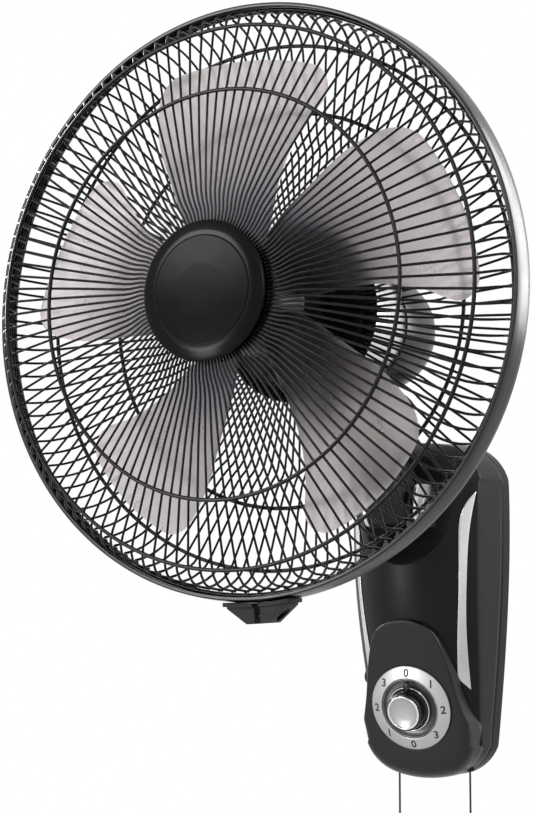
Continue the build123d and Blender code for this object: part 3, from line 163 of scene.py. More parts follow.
def piece(name, points, faces, outwards=True):
    """A smooth mesh object from points in millimetres, its faces turned to point outwards."""
    mesh = bpy.data.meshes.new(name)
    mesh.from_pydata((np.asarray(points).reshape(-1, 3) * MM).tolist(), [], np.asarray(faces).tolist())
    if outwards:
        work = bmesh.new()
        work.from_mesh(mesh)
        bmesh.ops.remove_doubles(work, verts=work.verts, dist=1e-6)
        bmesh.ops.recalc_face_normals(work, faces=work.faces)
        work.to_mesh(mesh)
        work.free()
    mesh.polygons.foreach_set("use_smooth", np.ones(len(mesh.polygons), dtype=bool))
    return new_object(name, mesh)


def sharpen(obj, degrees=35.0):
    """Marks edges over an angle as sharp."""
    obj.data.set_sharp_from_angle(angle=math.radians(degrees))


def place(obj, body, slot_name, material, *nodes):
    """Gives a piece its finish and its body, and lets it stand for CAD nodes."""
    obj.data.materials.clear()
    obj.data.materials.append(material)
    if nodes:
        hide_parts(*nodes)
    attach(obj, body)


def housing_value(column, height):
    """A column of the levels as one smooth curve over the height."""
    levels = HOUSING_LEVELS
    return np.polyval(np.polyfit(levels[:, 0], levels[:, column], 4), np.clip(height, BOTTOM, TOP))


def half_width(height):
    """Half the housing's width at the wall: the levels, and at the ends circles through three points."""
    width = housing_value(1, height)
    for points in END_ARCS:
        (x, z), squares = np.transpose(points).astype(float), np.sum(np.square(points), axis=1)
        sides = np.diff([x, z], axis=1).T
        centre = np.linalg.solve(2 * sides, np.diff(squares))
        swing = np.hypot(x[0] - centre[0], z[0] - centre[1]) ** 2 - (height - centre[1]) ** 2
        here = (height >= min(z)) & (height <= max(z))
        width = np.where(here, np.minimum(width, centre[0] + np.sqrt(np.maximum(swing, 0))), width)
    return width


def outline_reach(directions, centre_height, widths, low, high, grow=0.0):
    """Distance from a centre to an outline along each direction, and the outline's outward normal.

    The outline is a half width as a function of height, mirrored; it is sampled finely and read
    off by angle."""
    turn = np.linspace(0, math.pi, 600)
    heights = (high + low) / 2 - (high - low) / 2 * np.cos(turn)
    widths_there = np.maximum(widths(heights), 0)
    x = np.concatenate([widths_there, -widths_there[-2:0:-1]])
    z = np.concatenate([heights, heights[-2:0:-1]])
    along_x, along_z = np.roll(x, -1) - np.roll(x, 1), np.roll(z, -1) - np.roll(z, 1)
    length = np.hypot(along_x, along_z) + 1e-9
    normal_x, normal_z = along_z / length, -along_x / length
    x, z = x + normal_x * grow, z + normal_z * grow
    angle = np.arctan2(z - centre_height, x)
    order = np.argsort(angle)

    def read(values):
        return np.interp(directions, angle[order], values[order], period=2 * math.pi)

    return read(np.hypot(x, z - centre_height)), read(normal_x), read(normal_z)


def soft_least(a, b, width):
    """The lesser of two values, rounded where they cross."""
    mix = np.clip(0.5 + 0.5 * (b - a) / width, 0, 1)
    return b + (a - b) * mix - width * mix * (1 - mix)


def crown_depth(x, z):
    """Depth of the crowned front: an arc across, falling away at the top and the bottom."""
    crown, crease, half = housing_value(4, z), housing_value(3, z), housing_value(2, z)
    sag = crown - crease
    bend = (half**2 + sag**2) / (2 * sag)
    across = crown - bend + np.sqrt(np.maximum(bend**2 - x**2, 1.0))
    top = np.clip((z - (TOP - TOP_FALL[0])) / TOP_FALL[0], 0, 1)
    low = np.clip((BOTTOM + BOTTOM_FALL[0] - z) / BOTTOM_FALL[0], 0, 1)
    return across - TOP_FALL[1] * (1 - np.sqrt(1 - top**2)) - BOTTOM_FALL[1] * (1 - np.sqrt(1 - low**2))


def bowl_depth(x, z):
    """Depth of the neck's bowl, part of a sphere; far out in front beside it."""
    inside = SCOOP_RADIUS**2 - x**2 - (z - SCOOP_PLACE[2]) ** 2
    return SCOOP_PLACE[1] - np.sqrt(np.maximum(inside, 0))


def side_slope(normal_x, normal_z):
    """Depth gained per millimetre inwards: steep on the sides, steeper at the ends."""
    return SIDE_SLOPE * normal_x**2 + END_SLOPE * normal_z**2


directions = np.linspace(-math.pi, math.pi, 288, endpoint=False)
reach, normal_x, normal_z = outline_reach(directions, SCOOP_PLACE[2], half_width, BOTTOM, TOP)
square_on = np.abs(np.cos(directions) * normal_x + np.sin(directions) * normal_z)
gain = side_slope(normal_x, normal_z) * np.maximum(square_on, GRAZING)   # depth gained along a ray


def shell_depth(x, z):
    """Depth of the front shell at any place: its crown, its sides and its bowl, rounded together."""
    angle = np.arctan2(z - SCOOP_PLACE[2], x)
    reach_there = np.interp(angle, directions, reach, period=2 * math.pi)
    gain_there = np.interp(angle, directions, gain, period=2 * math.pi)
    side = (reach_there - np.hypot(x, z - SCOOP_PLACE[2])) * gain_there
    face = soft_least(crown_depth(x, z), side, CREASE_SOFT)
    return soft_least(face, bowl_depth(x, z), SCOOP_SOFT)


def housing_depth(distance):
    """Depth of the front shell at a distance along each ray from the bowl's middle."""
    return shell_depth(distance * np.cos(directions), SCOOP_PLACE[2] + distance * np.sin(directions))


rim_search = np.linspace(10, 70, 241)[:, None] + np.zeros_like(directions)
rim_x, rim_z = rim_search * np.cos(directions), SCOOP_PLACE[2] + rim_search * np.sin(directions)
outside = bowl_depth(rim_x, rim_z) > crown_depth(rim_x, rim_z)
rim = rim_search[np.argmax(outside, axis=0), 0]
rim = np.convolve(np.concatenate([rim[-3:], rim, rim[:3]]), np.ones(7) / 7, "valid")
start_in = reach - (SEAM_DEPTH + SEAM_GAP) / gain
side_end = reach - SIDE_DEPTH / gain
steps = [start_in + (side_end - start_in) * t for t in np.linspace(0, 1, 9)]
steps += [side_end + (rim + 4 - side_end) * t for t in np.linspace(0, 1, 56)[1:] ** 1.35]
steps += [rim + offset for offset in (2.8, 1.8, 1.2, 0.7, 0.3, 0, -0.4, -0.9, -1.8, -3.0)]
steps += [(rim - 3) * (1 - t) for t in np.linspace(0, 1, 13)[1:]]
distances = np.array(steps)
depths = np.array([housing_depth(d) for d in distances])
front_points = np.stack(
    [distances * np.cos(directions), -depths, SCOOP_PLACE[2] + distances * np.sin(directions)], -1
)
front_faces = grid_faces(len(steps), len(directions), close_columns=True)
housing_front = piece("front_shell", front_points, front_faces, outwards=False)


def turn_forwards(obj):
    """Turns an open skin's faces so that most of them look away from the wall."""
    total = sum(p.normal.y * p.area for p in obj.data.polygons)
    if total > 0:
        obj.data.flip_normals()


def thicken(obj, thickness):
    """Gives an open skin a wall behind it."""
    wall = obj.modifiers.new("wall", "SOLIDIFY")
    wall.thickness = thickness * MM
    wall.offset = -1.0


turn_forwards(housing_front)
thicken(housing_front, SHELL_WALL)

PLATE_POCKET = (42.3, 107.3)     # half width and half height of the wall plate's pocket
rear_directions = np.linspace(-math.pi, math.pi, 240, endpoint=False)
rear_reach, rear_nx, rear_nz = outline_reach(rear_directions, 0.0, half_width, BOTTOM, TOP)
rear_gain = side_slope(rear_nx, rear_nz) * np.maximum(
    np.abs(np.cos(rear_directions) * rear_nx + np.sin(rear_directions) * rear_nz), GRAZING
)
pocket = np.minimum(
    PLATE_POCKET[0] / np.maximum(np.abs(np.cos(rear_directions)), 1e-6),
    PLATE_POCKET[1] / np.maximum(np.abs(np.sin(rear_directions)), 1e-6),
)
rear_rows = [(rear_reach - 2.2 - SEAM_DEPTH / rear_gain, SEAM_DEPTH)]
rear_rows += [(rear_reach - 0.35 - SEAM_DEPTH / rear_gain, SEAM_DEPTH)]
rear_rows += [(rear_reach - depth / rear_gain, depth) for depth in (13.6, 10, 6, 2.5, 1.2)]
rear_rows += [(rear_reach - inwards, depth) for inwards, depth in ((0.2, 0.5), (0.8, 0.15), (1.6, 0.1))]
rear_rows += [(pocket + 0.3, 0.1), (pocket, 0.4), (pocket, 2.05), (pocket * 0.5, 2.05), (pocket * 0, 2.05)]
rear_points = np.array([
    np.stack([d * np.cos(rear_directions), np.full_like(d, -depth), d * np.sin(rear_directions)], -1)
    for d, depth in rear_rows
])
rear_faces = grid_faces(len(rear_rows), len(rear_directions), close_columns=True)
housing_rear = piece("rear_shell", rear_points, rear_faces)
sharpen(housing_rear, 50)


def new_material(name, settings):
    """A material, its node tree, its principled shader with these plain settings, and its object
    coordinates."""
    material = bpy.data.materials.new(name)
    material.use_nodes = True
    tree = material.node_tree
    shader = tree.nodes["Principled BSDF"]
    for label, value in settings.items():
        shader.inputs[label].default_value = value
    coordinates = tree.nodes.new("ShaderNodeTexCoord").outputs["Object"]
    return material, tree, shader, coordinates


def noise(tree, coordinates, scale, detail=4.0, stretch=None):
    """Noise of so many lumps per metre, stretched along an axis where asked."""
    node = tree.nodes.new("ShaderNodeTexNoise")
    node.inputs["Scale"].default_value = scale
    node.inputs["Detail"].default_value = detail
    if stretch:
        mapping = tree.nodes.new("ShaderNodeMapping")
        mapping.inputs["Scale"].default_value = stretch
        link(tree, coordinates, mapping.inputs["Vector"])
        coordinates = mapping.outputs["Vector"]
    link(tree, coordinates, node.inputs["Vector"])
    return node.outputs["Fac"]


def between(tree, value, low, high, start=0.0, end=1.0):
    """A value spread evenly from low to high."""
    node = tree.nodes.new("ShaderNodeMapRange")
    node.inputs["From Min"].default_value = start
    node.inputs["From Max"].default_value = end
    node.inputs["To Min"].default_value = low
    node.inputs["To Max"].default_value = high
    link(tree, value, node.inputs["Value"])
    return node.outputs["Result"]


def tint(tree, shader, value, stops):
    """The shader's colour, read from a value through a ramp of (position, colour) stops. A colour
    that is one number is a grey."""
    ramp = tree.nodes.new("ShaderNodeValToRGB")
    elements = ramp.color_ramp.elements
    stops = [(position, (*np.broadcast_to(colour, 3), 1)) for position, colour in stops]
    elements[0].position, elements[0].color = stops[0]
    elements[1].position, elements[1].color = stops[-1]
    for position, colour in stops[1:-1]:
        elements.new(position).color = colour
    link(tree, value, ramp.inputs["Fac"])
    link(tree, ramp.outputs["Color"], shader.inputs["Base Color"])


def uneven_gloss(tree, shader, value, rough):
    """The shader's roughness, between two values over the middle of a noise's range."""
    link(tree, between(tree, value, *rough, 0.3, 0.7), shader.inputs["Roughness"])


def grain(tree, shader, value, depth):
    """Small relief, so many metres deep."""
    bump = tree.nodes.new("ShaderNodeBump")
    bump.inputs["Distance"].default_value = depth
    link(tree, value, bump.inputs["Height"])
    link(tree, bump.outputs["Normal"], shader.inputs["Normal"])


def moulded_plastic(name, dark, light, rough, texture_scale, texture_depth, shine=0.25):
    """Moulded plastic: faint colour drift, uneven gloss and a fine eroded texture."""
    material, tree, shader, coordinates = new_material(name, {"Specular IOR Level": shine})
    tint(tree, shader, noise(tree, coordinates, 14, 3), [(0.35, dark), (0.65, light)])
    uneven_gloss(tree, shader, noise(tree, coordinates, 60, 5), rough)
    grain(tree, shader, noise(tree, coordinates, texture_scale, 2), texture_depth)
    return material


satin_black = moulded_plastic("satin_black_shell", 0.004, 0.006, (0.34, 0.40), 900, 0.00001, 0.16)
place(housing_front, "base", "black_housing", satin_black, "housing_front")
place(housing_rear, "base", "black_housing", satin_black, "housing_rear")

# ------------------------------------------------------------------------------- control panel
# A raised tongue of satin black plastic, snapped over the lower half of the front shell. Its arched
# edge stands proud of the shell, and its lower end wraps round the housing's bottom.
PANEL_TILT = 13.2
DIAL_PLACE = (0.0, -64.7, -83.3)
PANEL_PROUD = 0.8
PANEL_SUNK = 0.8               # how far the arched edge's foot stands in the shell
PANEL_BACK = 30.0
PANEL_BEND = 500.0             # radius of the panel's faint crown
ARCH = np.array([              # half width and height of the arched edge
    (0, -8.0), (9, -8.9), (17, -11.4), (26, -17.0), (33, -29), (38, -46), (42, -66), (48, -90), (62, -122),
    (70, -150),
], dtype=float)
ARCH_ROUND, SIDE_ROUND, BOTTOM_EDGE_ROUND = 2.0, 6.0, 15.0
ARCH_SLOPE = 20.0
ARCH_LOW = -150.0
EDGE_SOFT = 1.5                # rounding where the arch runs into the housing's sides
DIAL_RADIUS = 36.9
PANEL_WALL = 1.2

lean = math.radians(PANEL_TILT)


def curve_through(points, samples):
    """Points along the curve of cubic pieces that joins the given ones with no jump in slope or bend,
    evenly spread by distance."""
    points = np.asarray(points, dtype=float)
    at = np.concatenate([[0], np.cumsum(np.hypot(*np.diff(points, axis=0).T))])
    gap, rise = np.diff(at), np.diff(points, axis=0) / np.diff(at)[:, None]
    inner = np.diag(2 * (gap[:-1] + gap[1:])) + np.diag(gap[1:-1], 1) + np.diag(gap[1:-1], -1)
    bend = np.zeros_like(points)
    bend[1:-1] = np.linalg.solve(inner, 6 * np.diff(rise, axis=0))
    t = np.linspace(0, at[-1], samples)
    k = np.clip(np.searchsorted(at, t) - 1, 0, len(gap) - 1)
    back, ahead, span = (t - at[k])[:, None], (at[k + 1] - t)[:, None], gap[k][:, None]
    curve = (bend[k] * ahead**3 + bend[k + 1] * back**3) / (6 * span)
    curve += (points[k] / span - bend[k] * span / 6) * ahead
    return curve + (points[k + 1] / span - bend[k + 1] * span / 6) * back


arch_curve = curve_through(ARCH, 400)


def arch_half(height):
    """Half the arched edge's width."""
    return np.interp(-height, -arch_curve[:, 1], arch_curve[:, 0])


def panel_face(x, z):
    """Depth of the panel's face: a leaning plane with a faint crown across it."""
    return -DIAL_PLACE[1] + (z - DIAL_PLACE[2]) * math.tan(lean) - x**2 / (2 * PANEL_BEND)


panel_directions = np.linspace(-math.pi, math.pi, 320, endpoint=False)
ray_x, ray_z = np.cos(panel_directions), np.sin(panel_directions)
arch_edge, arch_nx, arch_nz = outline_reach(
    panel_directions, DIAL_PLACE[2], arch_half, ARCH_LOW, ARCH[0, 1]
)
side_foot, side_nx, side_nz = outline_reach(
    panel_directions, DIAL_PLACE[2], half_width, BOTTOM, TOP, PANEL_PROUD
)
side_gain = side_slope(side_nx, side_nz) * np.maximum(np.abs(ray_x * side_nx + ray_z * side_nz), 0.3)


def on_rays(depth_of, distance):
    """A depth at a distance along each ray from the dial's middle."""
    return depth_of(distance * ray_x, DIAL_PLACE[2] + distance * ray_z)


side_edge = side_foot.copy()
for _ in range(12):
    side_edge = side_foot - on_rays(panel_face, side_edge) / side_gain
edge = soft_least(arch_edge, side_edge, EDGE_SOFT)
on_arch = np.clip(0.5 + 0.5 * (side_edge - arch_edge) / EDGE_SOFT, 0, 1)   # 1 on the arch, 0 beside it
foot_depth = np.maximum(on_rays(shell_depth, edge) - PANEL_SUNK, PANEL_BACK)
foot_depth = PANEL_BACK + (foot_depth - PANEL_BACK) * on_arch
arch_gain = ARCH_SLOPE * np.maximum(np.abs(ray_x * arch_nx + ray_z * arch_nz), 0.3)
wall_gain = arch_gain * on_arch + side_gain * (1 - on_arch)
round_over = ARCH_ROUND * on_arch + (1 - on_arch) * (
    SIDE_ROUND * side_nx**2 + BOTTOM_EDGE_ROUND * side_nz**2
)


def evened(values, columns=21):
    """Values round a closed outline, each the mean of its neighbourhood of so many columns."""
    wrapped = np.concatenate([values[-(columns // 2):], values, values[:columns // 2]])
    return np.convolve(wrapped, np.ones(columns) / columns, "valid")


foot_depth, wall_gain, round_over = evened(foot_depth), evened(wall_gain), evened(round_over)

hole = (DIAL_RADIUS + 0.15) / np.sqrt(ray_x**2 + (ray_z / math.cos(lean)) ** 2)
edge_depth = on_rays(panel_face, edge)
inner_end = edge - round_over
inner_depth = on_rays(panel_face, inner_end)
wall_drop = np.minimum(round_over, (edge_depth - foot_depth) * 0.9)
wall_start, wall_start_depth = edge + wall_drop / wall_gain, edge_depth - wall_drop
panel_rows = []
for distance, sink in ((hole, 2.4), (hole, 0.5), (hole + 0.15, 0.15), (hole + 0.5, 0.0)):
    panel_rows.append((distance, on_rays(panel_face, distance) - sink))
for t in np.linspace(0, 1, 15)[1:-1]:
    distance = hole + 0.5 + (inner_end - hole - 0.5) * t
    panel_rows.append((distance, on_rays(panel_face, distance)))
for t in np.linspace(0, 1, 8):
    a, b, c = (1 - t) ** 2, 2 * t * (1 - t), t**2
    panel_rows.append((
        a * inner_end + b * edge + c * wall_start,
        a * inner_depth + b * edge_depth + c * wall_start_depth,
    ))
foot_reach = edge + (edge_depth - foot_depth) / wall_gain
for t in np.linspace(0, 1, 5)[1:]:
    panel_rows.append((
        wall_start + (foot_reach - wall_start) * t, wall_start_depth + (foot_depth - wall_start_depth) * t
    ))
panel_points = np.array([
    np.stack([d * ray_x, -depth, DIAL_PLACE[2] + d * ray_z], -1) for d, depth in panel_rows
])
panel_faces = grid_faces(len(panel_rows), len(panel_directions), close_columns=True)
panel = piece("panel", panel_points, panel_faces, outwards=False)
turn_forwards(panel)
thicken(panel, PANEL_WALL)
panel_black = moulded_plastic("satin_black_panel", 0.004, 0.006, (0.30, 0.36), 900, 0.000004, 0.30)
place(panel, "base", "panel_black", panel_black, "control_panel")

# ------------------------------------------------------------------------------- bright trims
# Two slim bright slivers, stamped from satin metal strip and glued into the front shell's
# shoulders. They taper to a point at the top and end in a slanted cut beside the panel.
TRIM_INNER = [(58.3, 101), (51.4, 90), (47.4, 60), (46.2, 14), (42.4, -26), (39.3, -58)]
TRIM_OUTER = [(58.6, 101), (54.8, 70), (52.3, 30), (49.6, -16), (48.2, -67.5)]
TRIM_STAND = 1.15
TRIM_STATIONS = 72

trim_across = np.array([        # share of the way across, share of the stand
    (0.0, -1.5), (0.0, 0.5), (0.08, 1.0), (0.3, 1.06), (0.5, 1.08), (0.7, 1.06), (0.92, 1.0), (1.0, 0.5),
    (1.0, -1.5),
])
inner_curve = curve_through(TRIM_INNER, TRIM_STATIONS)
outer_curve = curve_through(TRIM_OUTER, TRIM_STATIONS)
bright, tree, shader, coordinates = new_material("bright_strip", {"Metallic": 1.0})
# Painted sheen: the strips' grey drifts slowly and widely along them, standing for uneven light.
drift = noise(tree, coordinates, 16, 2, (1, 1, 0.7))
tint(tree, shader, drift, [(0.3, (0.46, 0.46, 0.47)), (0.7, (0.66, 0.66, 0.67))])
uneven_gloss(tree, shader, noise(tree, coordinates, 30, 3, (40, 40, 1)), (0.24, 0.32))
spread = np.concatenate([[0.0, 0.0], np.linspace(0.004, 0.996, TRIM_STATIONS - 4), [1.0, 1.0]])
stand = np.concatenate([[-1.5, 0.5], np.ones(TRIM_STATIONS - 4), [0.5, -1.5]])
at_station = spread * (TRIM_STATIONS - 1)
trim_faces = grid_faces(len(trim_across), TRIM_STATIONS, close_rows=True)
for side, sign in (("right", 1), ("left", -1)):
    rows = []
    for share, height in trim_across:
        line = inner_curve * (1 - share) + outer_curve * share
        x = np.interp(at_station, np.arange(TRIM_STATIONS), line[:, 0])
        z = np.interp(at_station, np.arange(TRIM_STATIONS), line[:, 1])
        depth = shell_depth(x, z) + TRIM_STAND * np.minimum(height, stand)
        rows.append(np.stack([sign * x, -depth, z], -1))
    trim = piece(f"trim_{side}_strip", np.array(rows), trim_faces)
    place(trim, "base", "bright_trim", bright, f"trim_{side}")

# ------------------------------------------------------------------------------- dial
# A conical ring of satin grey metal with printed numbers is let into the panel, with a shallow
# metal bowl inside it.
DIAL_TOP = 3.7                  # the ring's inner edge above the panel's plane
DIAL_BORE = 26.1
NUMBER_RADIUS = 31.4
NUMBER_HEIGHT = 9.4
NUMBERS = "01230123"            # clockwise from the top
INK_THICK, INK_SPREAD, INK_LIFT = 0.06, 0.2, 0.03
dial_frame = (
    np.array(DIAL_PLACE),
    np.array([(1, 0, 0), (0, -math.sin(lean), math.cos(lean)), (0, -math.cos(lean), -math.sin(lean))]),
)


def on_frame(points, frame_of):
    """Points (x, y, height) of a frame, given by its origin and its three axes, in the row's own axes."""
    return frame_of[0] + np.asarray(points) @ frame_of[1]


def whole_turn(count):
    """Angles spread evenly over a whole turn."""
    return np.linspace(0, 2 * math.pi, count, endpoint=False)


def spun(r, angle, h):
    """Points (x, y, height) from a distance to the axis, an angle round it and a height."""
    return np.stack([r * np.cos(angle), r * np.sin(angle), h + 0 * angle], -1)


def eased(profile, radius=0.4, steps=3):
    """A profile with each corner replaced by a small curve that starts `radius` before it, or a third
    of the way along a shorter side. A profile that starts and ends on the axis stays open."""
    profile = np.asarray(profile, dtype=float)
    is_open = profile[0, 0] == 0 and profile[-1, 0] == 0
    before, after = np.roll(profile, 1, axis=0) - profile, np.roll(profile, -1, axis=0) - profile
    cut = []
    for corner, back_by, on_by in zip(profile, before, after):
        lengths = [np.hypot(*side) for side in (back_by, on_by)]
        if min(lengths) < 1e-6:
            cut.append([corner])
            continue
        start = corner + back_by / lengths[0] * min(radius, lengths[0] / 3)
        end = corner + on_by / lengths[1] * min(radius, lengths[1] / 3)
        shares = np.linspace(0, 1, steps)
        cut.append([(1 - t) ** 2 * start + 2 * t * (1 - t) * corner + t**2 * end for t in shares])
    if is_open:
        cut[0], cut[-1] = [profile[0]], [profile[-1]]
    return np.array([point for corner in cut for point in corner]), is_open


def turned(name, profile, frame_of, segments=96, radius=0.4, steps=3):
    """A turned piece: a profile of (radius, height) carried round its frame's third axis."""
    points, is_open = eased(profile, radius, steps)
    angle = whole_turn(segments)
    grid = spun(points[:, :1], angle, points[:, 1:])
    faces = grid_faces(len(points), segments, close_rows=not is_open, close_columns=True)
    obj = piece(name, on_frame(grid, frame_of), faces)
    sharpen(obj, 50)
    return obj


def ring_metal(name, dark, light, rough, centre):
    """Turned metal: fine rings about the piece's own axis, from the distance to it."""
    material, tree, shader, coordinates = new_material(name, {"Metallic": 1.0})
    mapping = tree.nodes.new("ShaderNodeMapping")
    mapping.inputs["Location"].default_value = [-c * MM for c in centre]
    link(tree, coordinates, mapping.inputs["Vector"])
    length = tree.nodes.new("ShaderNodeVectorMath")
    length.operation = "LENGTH"
    link(tree, mapping.outputs["Vector"], length.inputs[0])
    rings = tree.nodes.new("ShaderNodeTexNoise")
    rings.noise_dimensions = "1D"
    rings.inputs["Scale"].default_value = 4000
    rings.inputs["Detail"].default_value = 2
    link(tree, length.outputs["Value"], rings.inputs["W"])
    tint(tree, shader, rings.outputs["Fac"], [(0.3, dark), (0.7, light)])
    uneven_gloss(tree, shader, noise(tree, coordinates, 90), rough)
    grain(tree, shader, rings.outputs["Fac"], 0.000001)
    return material


dial_metal = ring_metal("dial_satin_metal", 0.38, 0.42, (0.36, 0.42), DIAL_PLACE)
dial_ring = turned("dial_ring_plate", [
    (DIAL_BORE, -2), (DIAL_RADIUS, -2), (DIAL_RADIUS, 0.5), (DIAL_RADIUS - 0.6, 1.0),
    (DIAL_BORE + 0.7, DIAL_TOP), (DIAL_BORE, DIAL_TOP - 0.4),
], dial_frame, 160, 0.3)
place(dial_ring, "base", "dial_metal", dial_metal, "dial_ring")
bowl_metal = ring_metal("dial_bowl_metal", (0.50, 0.50, 0.51), (0.55, 0.55, 0.56), (0.50, 0.56), DIAL_PLACE)
bowl = turned("dial_bowl", [
    (3.6, -4.9), (20, -4.9), (25.6, -1.5), (25.9, 2.6), (25.2, 2.9), (24.9, 0.5), (23.6, -1.7),
    (20.4, -3.3), (15, -3.8), (3.6, -3.8),
], dial_frame, 128, 0.8)
place(bowl, "base", "dial_metal", bowl_metal, "dial_dish")

cone_foot = DIAL_RADIUS - 0.6   # where the ring's cone starts, 1 mm above the panel's plane
ink = moulded_plastic("dial_ink", 0.012, 0.02, (0.4, 0.5), 2000, 0.000002)
for index, number in enumerate(NUMBERS):
    letter_curve = bpy.data.curves.new(f"number_{index}", "FONT")
    letter_curve.body = number
    letter_curve.size = NUMBER_HEIGHT * MM
    letter_curve.extrude = INK_THICK * MM
    letter_curve.offset = INK_SPREAD * MM
    letter_curve.resolution_u = 3
    letter_curve.align_x, letter_curve.align_y = "CENTER", "CENTER"
    letter = bpy.data.objects.new(f"number_{index}", letter_curve)
    flat = bpy.data.meshes.new_from_object(letter)
    bpy.data.objects.remove(letter)
    corners = np.empty(len(flat.vertices) * 3, dtype=np.float32)
    flat.vertices.foreach_get("co", corners)
    corners = corners.reshape(-1, 3) / MM
    middle = (corners.min(0) + corners.max(0)) / 2
    turn = math.radians(90 - 45 * index)
    x = corners[:, 0] - middle[0] + NUMBER_RADIUS * math.cos(turn)
    y = corners[:, 1] - middle[1] + NUMBER_RADIUS * math.sin(turn)
    cone = 1.0 + (cone_foot - np.hypot(x, y)) * (DIAL_TOP - 1.0) / (cone_foot - DIAL_BORE - 0.7)
    placed = on_frame(np.stack([x, y, cone + corners[:, 2] + INK_LIFT], -1), dial_frame) * MM
    flat.vertices.foreach_set("co", placed.astype(np.float32).ravel())
    flat.update()
    place(new_object(f"dial_number_{index}", flat), "base", "dial_metal", ink)

# ------------------------------------------------------------------------------- knob
# A glossy black knob is pressed on the switch's spindle. A bright ring sits round its foot, a
# pointer reaches to the numbers, and a dished silver disc with a bright rim closes its end.
KNOB_HEIGHT = 15.3
KNOB_BARREL = 17.0
knob_black = moulded_plastic("glossy_black_knob", 0.004, 0.006, (0.12, 0.18), 400, 0.000002, 0.4)
knob = turned("knob_body", [
    (3.1, -3.4), (17.5, -3.4), (20.0, 0.5), (20.0, 3.0), (18.9, 4.1), (17.9, 4.3), (KNOB_BARREL, 5.2),
    (KNOB_BARREL - 0.6, 14.0), (15.6, KNOB_HEIGHT), (14.7, KNOB_HEIGHT), (14.7, 12.3), (3.1, 12.3),
], dial_frame, 128, 0.7, 4)
place(knob, "knob", "knob_gloss", knob_black, "speed_knob")
pointer_rows = [(16.4, 4.1, 5.2), (18.5, 3.6, 5.3), (21.0, 2.7, 5.0), (23.0, 1.9, 4.6), (23.7, 1.2, 3.9)]
pointer_across = np.array([(-1, -2.4), (-1, -0.5), (-0.8, 0), (0, 0.15), (0.8, 0), (1, -0.5), (1, -2.4)])
pointer_grid = np.array([
    [(half * u, along, top + w) for u, w in pointer_across] for along, half, top in pointer_rows
])
pointer_grid = np.concatenate([
    pointer_grid[:1] * [0.98, 1, 1], pointer_grid, pointer_grid[-1:] * [0.2, 1.002, 0.9],
])
pointer_faces = grid_faces(len(pointer_grid), len(pointer_across), close_columns=True)
pointer = piece("knob_pointer", on_frame(pointer_grid, dial_frame), pointer_faces)
place(pointer, "knob", "knob_gloss", knob_black)
bright_metal = ring_metal("knob_bright_metal", 0.62, 0.70, (0.12, 0.18), DIAL_PLACE)
foot_ring = turned("knob_foot_ring", [
    (18.2, 3.9), (19.2, 3.7), (19.3, 4.5), (18.8, 4.9), (18.2, 4.7),
], dial_frame, 128, 0.3)
place(foot_ring, "knob", "knob_silver", bright_metal)
face_metal = ring_metal("knob_face_metal", (0.34, 0.34, 0.35), (0.38, 0.38, 0.39), (0.30, 0.36), DIAL_PLACE)
knob_face = turned("knob_end_disc", [
    (0, 12.3), (14.6, 12.3), (14.6, 15.9), (14.1, 16.4), (13.4, 16.4), (13.0, 15.7), (10.5, 14.8),
    (7, 14.2), (3.5, 13.95), (0, 13.9),
], dial_frame, 128, 0.35, 4)
place(knob_face, "knob", "knob_silver", face_metal, "knob_face")
face_rim = turned("knob_end_rim", [
    (12.9, 15.6), (14.75, 15.2), (14.75, 16.0), (14.2, 16.5), (13.4, 16.5), (12.9, 16.0),
], dial_frame, 128, 0.3)
place(face_rim, "knob", "knob_silver", bright_metal)

# ------------------------------------------------------------------------------- tilt bracket and neck
# A bent steel bracket behind the bowl carries the neck on a bolt with friction washers. The neck is
# a black moulded arm whose socket takes the head's pivot pin. These pieces, the wall plate, the
# lead inlet, the cord eyelets and the plated fixings are the CAD's shapes with their edges eased.
EASE_ANGLE = 32                # edges that bend by more than this many degrees are eased


def place_copy(node, name, width, body, slot_name, material, segments=2):
    """Lets a copy of a CAD node's mesh stand for it, with its doubles merged, its flat faces joined
    and its edges eased."""
    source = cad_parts[node]
    mesh = bpy.data.meshes.new(name)
    work = bmesh.new()
    work.from_mesh(source.data)
    work.transform(source.matrix_world)
    bmesh.ops.remove_doubles(work, verts=work.verts, dist=2e-6)
    bmesh.ops.dissolve_limit(work, angle_limit=math.radians(0.8), verts=work.verts, edges=work.edges)
    work.to_mesh(mesh)
    work.free()
    mesh.polygons.foreach_set("use_smooth", np.ones(len(mesh.polygons), dtype=bool))
    obj = new_object(name, mesh)
    bevel = obj.modifiers.new("edge", "BEVEL")
    bevel.width = width * MM
    bevel.segments = segments
    bevel.limit_method = "ANGLE"
    bevel.angle_limit = math.radians(EASE_ANGLE)
    bevel.harden_normals = False
    normals = obj.modifiers.new("normals", "WEIGHTED_NORMAL")
    normals.keep_sharp = False
    place(obj, body, slot_name, material, node)


def zinc(name, base, rough, streak_scale):
    """Plated steel: patchy spangle in colour and roughness, with fine drawn streaks."""
    material, tree, shader, coordinates = new_material(name, {"Metallic": 1.0})
    patches = tree.nodes.new("ShaderNodeTexVoronoi")
    patches.inputs["Scale"].default_value = 160
    link(tree, coordinates, patches.inputs["Vector"])
    tint(tree, shader, patches.outputs["Distance"], [(0.0, np.multiply(base, 0.86)), (0.8, base)])
    streaks = noise(tree, coordinates, streak_scale, 3, (1, 1, 12))
    uneven_gloss(tree, shader, streaks, rough)
    grain(tree, shader, streaks, 0.00001)
    return material


